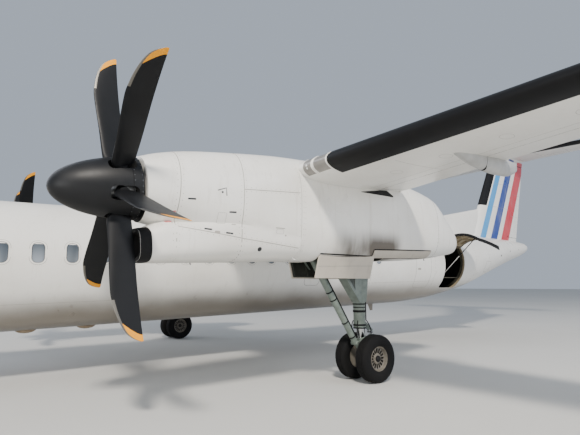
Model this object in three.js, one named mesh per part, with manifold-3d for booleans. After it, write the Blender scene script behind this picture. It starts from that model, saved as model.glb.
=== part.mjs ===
// A high-wing twin turboprop airliner on its wheels, in millimetres.
// +X is its left side, the nose points to -Y, +Z is up and the ground is z = 0.
// Places along the body are stations: millimetres aft of the nose tip.
import * as THREE from 'three';
import { mergeVertices } from 'three/addons/utils/BufferGeometryUtils.js';
import Module from 'manifold-3d';

const wasm = await Module();
wasm.setup();

// Driving dimensions
const LENGTH = 32830;
const SEAT_GAP = 0.3;
const CLEARANCE = 8;
const NOSE_PROUD = 1;
const SIDE_X = 4400;
const AXIS_HEIGHT = 2316;
const AXIS_RISE = 0.0247;
const WALL = 75;
const SHAFT_TILT = THREE.MathUtils.degToRad(4.64);
const PIN_RADIUS = 14;
const HOLLOW_SIDES = 16;
const FAR = 4000;

// Body sections: columns are station, half width, top and bottom from the body axis
const BODY = [
  [0, 45, -330, -410],
  [130, 215, -165, -570],
  [420, 400, 30, -745],
  [950, 640, 250, -940],
  [1600, 860, 455, -1085],
  [2150, 1000, 640, -1165],
  [2750, 1120, 965, -1215],
  [3200, 1195, 1110, -1245],
  [4100, 1292, 1235, -1272],
  [5200, 1345, 1280, -1280],
  [9000, 1345, 1280, -1280],
  [19600, 1345, 1280, -1280],
  [21800, 1345, 1280, -1275],
  [23400, 1335, 1280, -1200],
  [24700, 1290, 1275, -1040],
  [25600, 1225, 1266, -905],
  [27970, 930, 1245, -331],
  [29800, 640, 1210, 113],
  [31630, 330, 1110, 518],
  [32060, 210, 1050, 665],
  [32260, 70, 915, 760],
];
const BODY_SPLITS = [0, 3200, 9000, 19600, 25600, 32260];
const BODY_SIDES = 28;

// Nacelle sections: columns are station, half width, top, bottom, power of the upper corners, power of the
// lower corners, share of the shaft's tilt
const NACELLE = [
  [11480, 455, 3548, 2636, 2, 2, 1],
  [11720, 484, 3640, 2596, 2, 2, 0.7],
  [12100, 518, 3735, 2510, 2.1, 2.1, 0.25],
  [12700, 544, 3825, 2370, 2.25, 2.25, 0],
  [13980, 560, 3955, 2165, 2.5, 3.4, 0],
  [15200, 560, 3998, 2190, 2.5, 4.4, 0],
  [16400, 550, 3950, 2245, 2.5, 4.4, 0],
  [17200, 510, 3865, 2288, 2.45, 3.8, 0],
  [17750, 455, 3775, 2335, 2.4, 3, 0],
  [18050, 415, 3690, 2365, 2.35, 2.6, 0],
  [18250, 380, 3550, 2395, 2.3, 2.4, 0],
  [18700, 290, 3165, 2460, 2.2, 2.2, 0],
  [18880, 235, 2995, 2500, 2.2, 2.2, 0],
  [18960, 120, 2880, 2580, 2, 2, 0],
];
const NACELLE_END = 18960;
const COWL_END = 13980;
const COWL_TOP_END = 15100;
const NACELLE_SIDES = 20;
const CHIN_SIDES = 16;

// Chin duct sections, with the nacelle's columns
const CHIN = [
  [11450, 345, 2530, 2086, 3.4, 3.4, 1],
  [11600, 372, 2560, 2080, 3.3, 3.3, 0.9],
  [11720, 398, 2640, 2078, 3.2, 3.2, 0.75],
  [12100, 440, 2700, 2092, 3, 3, 0.3],
  [12900, 500, 2900, 2122, 2.7, 2.8, 0],
  [13970, 535, 3000, 2172, 2.5, 3.2, 0],
];

// Wing: values at the root and nacelle, then at the tip
const WING = {
  rootLeading: 13950,
  rootChord: 2720,
  tipChord: 1270,
  tipX: 14210,
  sweep: 0.067,
  dihedral: 0.0437,
  leadingHeight: 3672,
  incidence: THREE.MathUtils.degToRad(1.05),
  rootThickness: 0.18,
  tipThickness: 0.13,
  camber: 0.02,
};
const FLAP_CUT = 0.72;
const FLAP_PIVOT_DROP = 235;
const FLAP_TURN = 35;
const FLAP_SWING_GAP = 3;
const TRACK_BEARING = 38;
const BEARING_SIDES = 24;

// Fin and tailplane
const FIN_SECTIONS = [
  // columns: height, leading station, trailing station, thickness ratio
  [3700, 27230, 31330, 0.11],
  [7960, 29716, 32680, 0.1],
];
const TAILPLANE = {
  height: 8090,
  halfSpan: 4635,
  rootChord: 2150,
  tipChord: 1350,
  trailing: 32830,
  thickness: 0.12,
  hingeChord: 660,
};

// Propeller and spinner
const PROP = {
  x: SIDE_X,
  station: 11198,
  z: 3073,
  blades: 6,
  spinnerNose: 834,
  spinnerTail: 236,
  rootRadius: 78,
  hubRadius: 250,
  hubFront: -190,
  shaftEnd: 540,
  leftPhase: -18.7,
  rightPhase: 4.5,
};
// Blade sections: columns are radius, leading edge ahead of the pitch axis, trailing edge behind it,
// thickness
const BLADE = [
  [330, 100, 100, 120],
  [450, 152, 165, 78],
  [800, 160, 163, 52],
  [1400, 186, 156, 30],
  [1600, 158, 158, 24],
  [1780, 108, 162, 18],
  [1930, 35, 168, 13],
  [2052, -150, 176, 7],
];

// Undercarriage
const MAIN = { station: 15939, tyreRadius: 430, tyreWidth: 273, spacing: 536, rim: 225 };
const NOSE = { station: 1990, tyreRadius: 280, tyreWidth: 165, spacing: 330, rim: 120, trail: 55 };

// Doorways: station range, height range, hinge line
const STAIR_DOOR = { from: 3540, to: 4300, sill: 1165, head: 2840, hingeX: 972, hingeZ: 1190, roll: 18 };
const BAG_DOOR = {
  from: 23380,
  to: 24670,
  sill: 1680,
  head: 3203,
  hingeX: 1122,
  hingeZ: 3175,
  roll: 20,
  open: 101,
};

const COLOURS = {
  white: 0xe9e7e1,
  grey: 0x9aa0a0,
  black: 0x17181a,
  legs: 0x8d9690,
  tyre: 0x1b1b1c,
  rim: 0xa8a294,
  engine: 0x6c6a66,
};

const at = (station) => station - LENGTH / 2;
const axisHeight = (station) => AXIS_HEIGHT + AXIS_RISE * at(station);

// Solids from three.js geometry, and back again
function toSolid(geometry) {
  const bare = geometry.clone();
  bare.deleteAttribute('normal');
  bare.deleteAttribute('uv');
  const merged = mergeVertices(bare, 1e-3);
  return new wasm.Manifold(new wasm.Mesh({
    numProp: 3,
    vertProperties: new Float32Array(merged.attributes.position.array),
    triVerts: new Uint32Array(merged.index.array),
  }));
}

function toGeometry(solid) {
  const mesh = solid.getMesh();
  const geometry = new THREE.BufferGeometry();
  const positions = new Float32Array(mesh.numVert * 3);
  for (let v = 0; v < mesh.numVert; v++) {
    for (let k = 0; k < 3; k++) positions[3 * v + k] = mesh.vertProperties[mesh.numProp * v + k];
  }
  geometry.setAttribute('position', new THREE.BufferAttribute(positions, 3));
  geometry.setIndex(new THREE.BufferAttribute(new Uint32Array(mesh.triVerts), 1));
  return geometry;
}

const joined = (solids) => solids.reduce((all, next) => all.add(next));
const cutBy = (solid, cutters) => cutters.reduce((rest, cutter) => rest.subtract(cutter), solid);

function mirrored(solid) {
  const geometry = toGeometry(solid);
  geometry.scale(-1, 1, 1);
  const index = geometry.index.array;
  for (let i = 0; i < index.length; i += 3) [index[i], index[i + 1]] = [index[i + 1], index[i]];
  return toSolid(geometry);
}

function moved(solid, matrix) {
  return toSolid(toGeometry(solid).applyMatrix4(matrix));
}

function turnedAbout(solid, point, axis, degrees) {
  const there = new THREE.Matrix4().makeTranslation(...point);
  const back = new THREE.Matrix4().makeTranslation(...point.map((v) => -v));
  const angle = THREE.MathUtils.degToRad(degrees);
  const turn = new THREE.Matrix4().makeRotationAxis(new THREE.Vector3(...axis), angle);
  return moved(solid, there.multiply(turn).multiply(back));
}

function box(x0, x1, y0, y1, z0, z1) {
  const geometry = new THREE.BoxGeometry(x1 - x0, y1 - y0, z1 - z0);
  geometry.translate((x0 + x1) / 2, (y0 + y1) / 2, (z0 + z1) / 2);
  return toSolid(geometry);
}

// A round bar between two points, with its own radius at each end
function bar(from, to, radius, endRadius = radius, sides = 12) {
  const start = new THREE.Vector3(...from);
  const end = new THREE.Vector3(...to);
  const along = end.clone().sub(start);
  const length = along.length();
  const turn = new THREE.Quaternion().setFromUnitVectors(new THREE.Vector3(0, 1, 0), along.normalize());
  const geometry = new THREE.CylinderGeometry(endRadius, radius, length, sides);
  geometry.applyQuaternion(turn);
  geometry.translate(...start.add(end).multiplyScalar(0.5).toArray());
  return toSolid(geometry);
}

// A flat outline given as [y, z] points, extruded between two x values
function sidePlate(outline, x0, x1) {
  const shape = new THREE.Shape(outline.map(([y, z]) => new THREE.Vector2(y, z)));
  const geometry = new THREE.ExtrudeGeometry(shape, { depth: x1 - x0, bevelEnabled: false });
  geometry.applyMatrix4(new THREE.Matrix4().makeBasis(
    new THREE.Vector3(0, 1, 0),
    new THREE.Vector3(0, 0, 1),
    new THREE.Vector3(1, 0, 0),
  ));
  geometry.translate(x0, 0, 0);
  return toSolid(geometry);
}

// A wheel's solid of revolution about X from [x, radius] points. It stands on a flat, and its flats lie at
// the radius given.
function turnedOnX(profile, centre, segments) {
  const halfStep = Math.PI / segments;
  const points = profile.map(([x, r]) => new THREE.Vector2(r / Math.cos(halfStep), x));
  const geometry = new THREE.LatheGeometry(points, segments, halfStep);
  geometry.rotateZ(-Math.PI / 2);
  geometry.translate(...centre);
  return outward(geometry);
}

function outward(geometry) {
  const bare = geometry.index ? geometry.toNonIndexed() : geometry;
  const p = bare.attributes.position;
  const [a, b, c] = [new THREE.Vector3(), new THREE.Vector3(), new THREE.Vector3()];
  let volume = 0;
  for (let i = 0; i < p.count; i += 3) {
    a.fromBufferAttribute(p, i);
    b.fromBufferAttribute(p, i + 1);
    c.fromBufferAttribute(p, i + 2);
    volume += a.dot(b.cross(c));
  }
  if (volume < 0) {
    for (let i = 0; i < p.count; i += 3) {
      a.fromBufferAttribute(p, i);
      b.fromBufferAttribute(p, i + 1);
      p.setXYZ(i, b.x, b.y, b.z);
      p.setXYZ(i + 1, a.x, a.y, a.z);
    }
  }
  return toSolid(bare);
}

// A closed skin over rings of equal point count, with a fan over each end
function loft(rings) {
  const count = rings[0].length;
  const middle = (ring) => [0, 1, 2].map((k) => ring.reduce((sum, point) => sum + point[k], 0) / count);
  const points = [...rings.flat(), middle(rings[0]), middle(rings[rings.length - 1])];
  const first = rings.length * count;
  const index = [];
  for (let r = 0; r + 1 < rings.length; r++) {
    for (let i = 0; i < count; i++) {
      const j = (i + 1) % count;
      const [a, b, c, d] = [r * count + i, r * count + j, (r + 1) * count + j, (r + 1) * count + i];
      index.push(a, b, c, a, c, d);
    }
  }
  for (let i = 0; i < count; i++) {
    const j = (i + 1) % count;
    index.push(first, j, i, first + 1, first - count + i, first - count + j);
  }
  const geometry = new THREE.BufferGeometry();
  geometry.setAttribute('position', new THREE.Float32BufferAttribute(points.flat(), 3));
  geometry.setIndex(index);
  return outward(geometry);
}

// Rows between a table's rows, on a smooth curve through its columns
function smoothRows(table, from, to, steps) {
  const columns = table[0].length - 1;
  const track = new THREE.CubicInterpolant(
    table.map((row) => row[0]),
    table.flatMap((row) => row.slice(1)),
    columns,
    new Float32Array(columns),
  );
  const stops = table.map((row) => row[0]).filter((s) => s > from && s < to);
  const rows = [];
  [from, ...stops, to].forEach((stop, i, all) => {
    const count = i === 0 ? 1 : steps;
    for (let k = 1; k <= count; k++) {
      const station = i === 0 ? stop : all[i - 1] + ((stop - all[i - 1]) * k) / count;
      rows.push([station, ...track.evaluate(station)]);
    }
  });
  return rows;
}

// A rounded ring across the body: power 2 is an ellipse, higher is squarer
function crossRing({ x = 0, y, half, top, bottom, power = 2, lowPower = power, tilt = 0, sides, grow = 0 }) {
  const middle = (top + bottom) / 2;
  const tall = (top - bottom) / 2 + grow;
  const wide = half + grow;
  return Array.from({ length: sides }, (_, i) => {
    const angle = (2 * Math.PI * (i + 0.5)) / sides;
    const corner = Math.sin(angle) < 0 ? lowPower : power;
    const bend = (value) => Math.sign(value) * Math.abs(value) ** (2 / corner);
    const dz = tall * bend(Math.sin(angle));
    return [x + wide * bend(Math.cos(angle)), y - dz * Math.tan(tilt), middle + dz];
  });
}

function bodyLoft(from, to, grow = 0) {
  return loft(smoothRows(BODY, from, to, 1).map(([station, half, top, bottom]) => crossRing({
    y: at(station),
    half,
    top: axisHeight(station) + top,
    bottom: axisHeight(station) + bottom,
    sides: BODY_SIDES,
    grow,
  })));
}

function podLoft(table, from, to, sides, grow = 0) {
  const rows = smoothRows(table, from, to, 1);
  return loft(rows.map(([station, half, top, bottom, power, lowPower, tilt]) => crossRing({
    x: SIDE_X,
    y: at(station),
    half,
    top,
    bottom,
    power,
    lowPower,
    tilt: tilt * SHAFT_TILT,
    sides,
    grow,
  })));
}

// A wing section as [share of chord, height over chord, side], from the trailing edge over the top and back
// below: side is 1 above, 0 at the nose and -1 below
function foil(thickness, camber, steps) {
  const bulge = (f) => 0.2969 * Math.sqrt(f) + f * (-0.126 + f * (-0.3516 + f * (0.2843 - 0.1015 * f)));
  const half = (f) => 5 * thickness * bulge(f);
  const line = (f) => (f < 0.4
    ? (camber / 0.16) * (0.8 * f - f * f)
    : (camber / 0.36) * (0.2 + 0.8 * f - f * f));
  const share = (i) => (1 + Math.cos((Math.PI * i) / steps)) / 2;
  const shares = Array.from({ length: steps }, (_, i) => share(i));
  const upper = shares.map((f) => [f, line(f) + half(f), 1]);
  const lower = [...shares].reverse().map((f) => [f, line(f) - half(f), -1]);
  return [...upper, [0, 0, 0], ...lower];
}

const FOIL_STEPS = 6;
const BLADE_STEPS = 2;

function wingRow(x) {
  const out = Math.max(0, x - SIDE_X);
  const share = out / (WING.tipX - SIDE_X);
  return {
    x,
    leading: WING.rootLeading + WING.sweep * out,
    height: WING.leadingHeight + WING.dihedral * out,
    chord: WING.rootChord + (WING.tipChord - WING.rootChord) * share,
    thickness: WING.rootThickness + (WING.tipThickness - WING.rootThickness) * share,
  };
}

function wingRing({ x, leading, height, chord, thickness }, grow = 0) {
  const [c, s] = [Math.cos(WING.incidence), Math.sin(WING.incidence)];
  return foil(thickness, WING.camber, FOIL_STEPS).map(([f, h, sign]) => {
    const along = f * (chord + 2 * grow) - grow;
    const up = h * chord + sign * grow;
    return [x, at(leading) + along * c + up * s, height - along * s + up * c];
  });
}

// A point on the wing's middle line at a share of its chord
function wingPoint(x, share) {
  const { leading, height, chord } = wingRow(x);
  const along = share * chord;
  const camber = (WING.camber / 0.36) * (0.2 + 0.8 * share - share * share) * chord;
  const [c, s] = [Math.cos(WING.incidence), Math.sin(WING.incidence)];
  return [x, at(leading) + along * c, height - along * s + camber];
}

// Turned boxes and rolls along a hinge line
function hingeFrame(from, to) {
  const along = new THREE.Vector3(...to).sub(new THREE.Vector3(...from));
  const length = along.length();
  along.normalize();
  const aft = new THREE.Vector3(0, 1, 0);
  aft.addScaledVector(along, -aft.dot(along)).normalize();
  const up = new THREE.Vector3().crossVectors(along, aft);
  const matrix = new THREE.Matrix4().makeBasis(along, aft, up).setPosition(...from);
  const point = (a, b = 0, c = 0) => new THREE.Vector3(a, b, c).applyMatrix4(matrix).toArray();
  return { matrix, length, point };
}

function hingeBox(line, [a0, a1], [b0, b1], [c0, c1]) {
  const geometry = new THREE.BoxGeometry(a1 - a0, b1 - b0, c1 - c0);
  geometry.translate((a0 + a1) / 2, (b0 + b1) / 2, (c0 + c1) / 2);
  return toSolid(geometry.applyMatrix4(line.matrix));
}

// How far a section reaches above or below a point of the hinge line
function reachAt(ring, [, y, z]) {
  return Math.max(...ring.map(([, y0, z0], i) => {
    const [, y1, z1] = ring[(i + 1) % ring.length];
    const share = (y - y0) / (y1 - y0);
    return share >= 0 && share <= 1 ? Math.abs(z0 + share * (z1 - z0) - z) : 0;
  }));
}

// A surface that turns on its own round nose: what moves, and what it takes out of the fixed piece
function hingedSurface(whole, [from, to], sectionAt, depth) {
  const line = hingeFrame(from, to);
  const [noseRadius, endRadius] = [from, to].map((point) => reachAt(sectionAt(point[0]), point) + NOSE_PROUD);
  const reach = [0, line.length];
  const wider = [-CLEARANCE, line.length + CLEARANCE];
  const nose = bar(line.point(0), line.point(line.length), noseRadius, endRadius);
  const hollow = bar(
    line.point(-CLEARANCE),
    line.point(line.length + CLEARANCE),
    noseRadius + CLEARANCE,
    endRadius + CLEARANCE,
    HOLLOW_SIDES,
  );
  const pinReach = CLEARANCE - SEAT_GAP;
  const pin = bar(line.point(-pinReach), line.point(line.length + pinReach), PIN_RADIUS);
  const blade = whole.intersect(hingeBox(line, reach, [0, FAR], [-depth, depth]));
  return {
    moving: joined([blade, nose, pin]),
    fixed: whole.subtract(hingeBox(line, wider, [0, FAR], [-depth, depth])).subtract(hollow),
  };
}

// Wings
function wingSolid(rows, grow = 0) {
  return loft(rows.map((x) => wingRing(wingRow(x), grow)));
}

// Wing tip sections: columns are x, share of the chord kept, share of the thickness kept
const WING_TIP = [
  [14000, 0.98, 0.9],
  [14140, 0.93, 0.6],
  [WING.tipX, 0.84, 0.18],
];

function outerWing(grow = 0) {
  const tip = WING_TIP.map(([x, chordShare, thickShare]) => {
    const row = wingRow(x);
    const lost = row.chord * (1 - chordShare);
    return {
      ...row,
      leading: row.leading + lost * 0.7,
      chord: row.chord - lost,
      thickness: (row.thickness * thickShare) / chordShare,
    };
  });
  return loft([SIDE_X, 10400].map(wingRow).concat(tip).map((row) => wingRing(row, grow)));
}

// Flap-track fairings: columns are share of the fairing's length, half width, depth below the wing
const TRACK_SHAPE = [
  [0, 12, 20],
  [0.12, 62, 90],
  [0.35, 98, 195],
  [0.6, 104, 240],
  [0.8, 80, 225],
  [0.93, 42, 150],
  [1, 12, 80],
];

function trackFairing(x, from, to) {
  const rings = TRACK_SHAPE.map(([share, half, depth]) => {
    const station = from + (to - from) * share;
    const under = wingPoint(x, FLAP_CUT)[2] - 70;
    return crossRing({
      x,
      y: at(station),
      half,
      top: under + 60,
      bottom: under - depth,
      power: 2.2,
      sides: 10,
    });
  });
  return loft(rings);
}

// Flap spans: columns are name, inner x, outer x, fairing x, fairing start and end stations
const FLAPS = [
  ['flap_inner', 1500, 3800, 2650, 14950, 17050],
  ['flap_outer', 5010, 10250, 7050, 14840, 16900],
];
const AILERON = { inner: 10330, outer: 13780, share: 0.72 };

const hingeLines = {};

function cutFlap(whole, inner, outer, fairingX) {
  const [a, b] = [wingPoint(inner, FLAP_CUT), wingPoint(outer, FLAP_CUT)];
  a[2] -= FLAP_PIVOT_DROP;
  b[2] -= FLAP_PIVOT_DROP;
  const line = hingeFrame(a, b);
  const share = (fairingX - inner) / (outer - inner);
  const half = 60;
  const bearing = (radius, reach) => bar(
    line.point(line.length * share - reach),
    line.point(line.length * share + reach),
    radius,
    radius,
    BEARING_SIDES,
  );
  const seat = (TRACK_BEARING + SEAT_GAP) / Math.cos(Math.PI / BEARING_SIDES);
  const along = new THREE.Vector3(...b).sub(new THREE.Vector3(...a)).normalize().toArray();
  const ahead = hingeBox(line, [-10, line.length + 10], [-FAR, -FLAP_SWING_GAP], [-FAR, FAR]);
  const aftBlade = whole
    .intersect(hingeBox(line, [0, line.length], [0, FAR], [-FAR, 1000]))
    .subtract(turnedAbout(ahead, a, along, FLAP_TURN));
  const wider = hingeBox(line, [-CLEARANCE, line.length + CLEARANCE], [-CLEARANCE, FAR], [-FAR, 1000]);
  return {
    moving: joined([aftBlade, bearing(TRACK_BEARING, half)]),
    fixed: whole.subtract(wider).subtract(bearing(seat, half + CLEARANCE)),
    line: [a, b],
  };
}

function buildWingSide() {
  const [innerFlap, outerFlap] = FLAPS;
  const tracks = FLAPS.map(([, , , x, from, to]) => trackFairing(x, from, to));
  const innerWhole = wingSolid([SEAT_GAP, SIDE_X - SEAT_GAP]).add(tracks[0]);
  const inner = cutFlap(innerWhole, innerFlap[1], innerFlap[2], innerFlap[3]);
  const outerWhole = outerWing().add(tracks[1]);
  const outer = cutFlap(outerWhole, outerFlap[1], outerFlap[2], outerFlap[3]);
  const aileronLine = [wingPoint(AILERON.inner, AILERON.share), wingPoint(AILERON.outer, AILERON.share)];
  const aileron = hingedSurface(outer.fixed, aileronLine, (x) => wingRing(wingRow(x)), 400);
  hingeLines.flap_inner = inner.line;
  hingeLines.flap_outer = outer.line;
  hingeLines.aileron = aileronLine;
  return {
    centreHalf: inner.fixed,
    outerFixed: aileron.fixed,
    flapInner: inner.moving,
    flapOuter: outer.moving,
    aileron: aileron.moving,
  };
}

// Nacelle with its cowl, engine bay, chin intake and wheel well
const WELL = { halfWidth: 408, from: 14440, to: 16080, roof: 3050 };
const BAY = { radius: 425, from: 11640 };
// Intake duct: columns are station, half width, top, bottom
const DUCT = [
  [11410, 314, 2494, 2124],
  [12250, 300, 2560, 2150],
];
const ENGINE = { radius: 335, from: 11760, to: 13700, z: 3085 };

function buildNacelle(wingCutters) {
  const [inboard, outboard] = [SIDE_X - 700, SIDE_X + 700];
  const overWing = (from, low) => box(inboard, outboard, at(from), at(COWL_TOP_END), low, 4400);
  const underWing = box(inboard, outboard, at(COWL_END) - SEAT_GAP, at(16000), 1500, WING.leadingHeight);
  const cowlOuter = joined([
    podLoft(NACELLE, NACELLE[0][0], COWL_TOP_END - SEAT_GAP, NACELLE_SIDES).subtract(underWing),
    podLoft(CHIN, CHIN[0][0], CHIN[CHIN.length - 1][0], CHIN_SIDES),
  ]);
  const engineBay = bar(
    [SIDE_X, at(BAY.from), ENGINE.z],
    [SIDE_X, at(COWL_END) + 1, ENGINE.z],
    BAY.radius - 25,
    BAY.radius,
    16,
  );
  const shaftHole = bar([SIDE_X, at(11400), 3089], [SIDE_X, at(BAY.from) + 30, 3101], 150);
  const duct = loft(DUCT.map(([station, half, top, bottom]) => crossRing({
    x: SIDE_X,
    y: at(station),
    half,
    top,
    bottom,
    power: 3.4,
    sides: 12,
  })));
  const cowl = cutBy(cowlOuter, [engineBay, shaftHole, duct, ...wingCutters]);

  const shell = podLoft(NACELLE, COWL_END, NACELLE_END, NACELLE_SIDES)
    .subtract(overWing(COWL_END - 10, WING.leadingHeight - SEAT_GAP));
  const well = box(
    SIDE_X - WELL.halfWidth,
    SIDE_X + WELL.halfWidth,
    at(WELL.from),
    at(WELL.to),
    1500,
    WELL.roof,
  );
  const port = hingeFrame([SIDE_X - 200, at(16850), 3440], [SIDE_X - 700, at(17250), 3420]);
  const exhaustPort = bar(port.point(0), port.point(port.length), 165);
  const pipe = bar(port.point(SEAT_GAP), port.point(port.length - 60), 155)
    .subtract(bar(port.point(60), port.point(port.length), 140));
  return {
    cowl,
    nacelle: cutBy(shell, [well, exhaustPort, ...wingCutters]),
    exhaust: pipe,
    engine: joined([
      bar([SIDE_X, at(ENGINE.from), ENGINE.z + 15], [SIDE_X, at(ENGINE.to), ENGINE.z], ENGINE.radius),
      bar([SIDE_X, at(ENGINE.to) - 5, ENGINE.z], [SIDE_X, at(COWL_END) - SEAT_GAP, ENGINE.z], 180),
      moved(bar([0, PROP.shaftEnd + SEAT_GAP, 0], [0, PROP.shaftEnd + 120, 0], 170), shaftMatrix(1)),
    ]),
    shellGrown: podLoft(NACELLE, COWL_END, NACELLE_END, NACELLE_SIDES, SEAT_GAP),
  };
}

// Propeller: blades stand feathered, edge on to the air
function bladeSolid() {
  const rings = BLADE.map(([radius, ahead, behind, thickness]) => {
    const twist = THREE.MathUtils.degToRad(12 * (1 - radius / 1540));
    const chord = ahead + behind;
    return foil(1, 0, BLADE_STEPS).map(([f, h]) => {
      const along = -ahead + f * chord;
      const up = h * thickness * 0.98;
      return [
        radius,
        along * Math.cos(twist) - up * Math.sin(twist),
        along * Math.sin(twist) + up * Math.cos(twist),
      ];
    });
  });
  const root = bar([200, 0, 0], [400, 0, 0], PROP.rootRadius, PROP.rootRadius, 8);
  return joined([loft(rings), root]);
}

const HUB_SEGMENTS = 12;

function spinnerRadius(behindTip) {
  return Math.sqrt(328 * behindTip - 0.1405 * behindTip ** 2);
}

function shaftMatrix(side) {
  return new THREE.Matrix4()
    .makeTranslation(side * PROP.x, at(PROP.station), PROP.z)
    .multiply(new THREE.Matrix4().makeRotationX(SHAFT_TILT));
}

// A solid of revolution about Y from [y, radius] points
function turnedOnY(profile, segments) {
  return outward(new THREE.LatheGeometry(profile.map(([y, r]) => new THREE.Vector2(r, y)), segments));
}

function buildPropeller(side, phase) {
  const blade = bladeSolid();
  const turn = (degrees) => new THREE.Matrix4().makeRotationY(THREE.MathUtils.degToRad(-degrees));
  const angles = Array.from({ length: PROP.blades }, (_, i) => phase + (360 / PROP.blades) * i);
  const hub = turnedOnY([
    [PROP.hubFront, 0],
    [PROP.hubFront, PROP.hubRadius],
    [180, PROP.hubRadius],
    [200, 120],
    [PROP.shaftEnd, 120],
    [PROP.shaftEnd, 0],
  ], HUB_SEGMENTS);
  const blades = joined([hub, ...angles.map((angle) => moved(blade, turn(angle)))]);
  const length = PROP.spinnerNose + PROP.spinnerTail;
  const outerProfile = Array.from({ length: 7 }, (_, i) => {
    const behind = length * (i / 6) ** 2;
    return [behind - PROP.spinnerNose, i === 0 ? 0 : spinnerRadius(behind)];
  });
  const shell = turnedOnY([...outerProfile, [PROP.spinnerTail, 0]], 18);
  const core = turnedOnY([
    [PROP.hubFront - SEAT_GAP, 0],
    [PROP.hubFront - SEAT_GAP, PROP.hubRadius + SEAT_GAP],
    [PROP.spinnerTail + 10, PROP.hubRadius + SEAT_GAP],
    [PROP.spinnerTail + 10, 0],
  ], HUB_SEGMENTS);
  const sockets = joined(angles.map((angle) => moved(box(200, 600, -172, 185, -95, 95), turn(angle))));
  const spinner = cutBy(shell, [core, sockets]);
  return {
    propeller: moved(blades, shaftMatrix(side)),
    spinner: moved(spinner, shaftMatrix(side)),
  };
}

// Wheels: a tyre profile about its own middle, as [x, radius]
function tyreProfile({ tyreRadius, tyreWidth, rim }) {
  const half = tyreWidth / 2;
  const side = (tyreRadius + rim) / 2;
  const shoulder = rim + (tyreRadius - rim) * 0.85;
  return [
    [-half * 0.72, rim],
    [-half, side],
    [-half * 0.86, shoulder],
    [-half * 0.5, tyreRadius],
    [half * 0.5, tyreRadius],
    [half * 0.86, shoulder],
    [half, side],
    [half * 0.72, rim],
    [-half * 0.72, rim],
  ];
}

function wheelHub({ tyreWidth, rim }, outwardSign) {
  const half = tyreWidth / 2;
  const out = (value) => value * outwardSign;
  return [
    [out(-half * 0.7), 0],
    [out(-half * 0.7), rim - SEAT_GAP],
    [out(half * 0.72), rim - SEAT_GAP],
    [out(half * 0.3), rim * 0.8],
    [out(half * 0.3), 0],
  ];
}

const WHEEL_SEGMENTS = 20;

function twinHubs(gear, x, y, z, sleeveRadius, sleeveLength) {
  const offset = gear.spacing / 2;
  const inner = offset - (gear.tyreWidth / 2) * 0.7 + 2;
  return [1, -1].map((sign) => {
    const hub = turnedOnX(wheelHub(gear, sign), [x + sign * offset, y, z], WHEEL_SEGMENTS);
    return hub.add(bar([x + sign * inner, y, z], [x + sign * sleeveLength, y, z], sleeveRadius));
  });
}

const aircraft = new THREE.Group();

function add(name, solid, colour, roughness = 0.5, metalness = 0) {
  const geometry = toGeometry(solid);
  geometry.computeVertexNormals();
  const finish = new THREE.MeshStandardMaterial({ color: colour, roughness, metalness });
  const mesh = new THREE.Mesh(geometry, finish);
  mesh.name = name;
  aircraft.add(mesh);
}

function addPair(name, leftSolid, colour, roughness, metalness) {
  add(`${name}_left`, leftSolid, colour, roughness, metalness);
  add(`${name}_right`, mirrored(leftSolid), colour, roughness, metalness);
}

// Wings first, because other pieces are cut round them
const wing = buildWingSide();
const wingCutters = [
  loft([0, SIDE_X, SIDE_X + 2].map((x) => wingRing(wingRow(x), SEAT_GAP))),
  outerWing(SEAT_GAP),
];
const centreWing = joined([
  wing.centreHalf,
  mirrored(wing.centreHalf),
  loft([-2, 2].map((x) => wingRing({ ...wingRow(0), x }))),
]);
add('wing_centre', centreWing, COLOURS.white);
addPair('wing', wing.outerFixed, COLOURS.white);
addPair('flap_inner', wing.flapInner, COLOURS.white);
addPair('flap_outer', wing.flapOuter, COLOURS.white);
addPair('aileron', wing.aileron, COLOURS.white);

// Fuselage sections
const centreWingCutter = loft([-SIDE_X, SIDE_X].map((x) => wingRing({ ...wingRow(0), x }, SEAT_GAP)));

function doorPanel(door) {
  return bodyLoft(door.from - 200, door.to + 200).subtract(bodyLoft(door.from - 300, door.to + 300, -WALL));
}

function doorway({ from, to, sill, head }) {
  return box(400, 1700, at(from), at(to), sill, head);
}

const stairLine = [
  [STAIR_DOOR.hingeX, at(STAIR_DOOR.from) + CLEARANCE, STAIR_DOOR.hingeZ],
  [STAIR_DOOR.hingeX, at(STAIR_DOOR.to) - CLEARANCE, STAIR_DOOR.hingeZ],
];
const bagLine = [
  [BAG_DOOR.hingeX, at(BAG_DOOR.from) + CLEARANCE, BAG_DOOR.hingeZ],
  [BAG_DOOR.hingeX, at(BAG_DOOR.to) - CLEARANCE, BAG_DOOR.hingeZ],
];
hingeLines.stair_door = stairLine;
hingeLines.baggage_door = bagLine;

function hingePins([from, to], radius) {
  const reach = CLEARANCE - SEAT_GAP;
  const [start, end] = [[...from], [...to]];
  start[1] -= reach;
  end[1] += reach;
  return joined([bar(from, to, radius), bar(start, end, PIN_RADIUS - 2)]);
}

// The rod that holds the baggage door up, and the peg on the fuselage that its foot rests against
const STAY = { top: [2466, at(23478), 3340], foot: [1186, at(23478), 2178], radius: 9 };
const PEG = { x: 1178, z: 2185, radius: 10, wall: 1260 };
const stayPeg = joined([
  bar(
    [PEG.x, at(BAG_DOOR.from) - 40, PEG.z],
    [PEG.x, STAY.foot[1] - STAY.radius - SEAT_GAP, PEG.z],
    PEG.radius,
    PEG.radius,
    8,
  ),
  box(PEG.x - 12, PEG.wall, at(BAG_DOOR.from) - 45, at(BAG_DOOR.from) - 12, PEG.z - 14, PEG.z + 14),
]);

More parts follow.
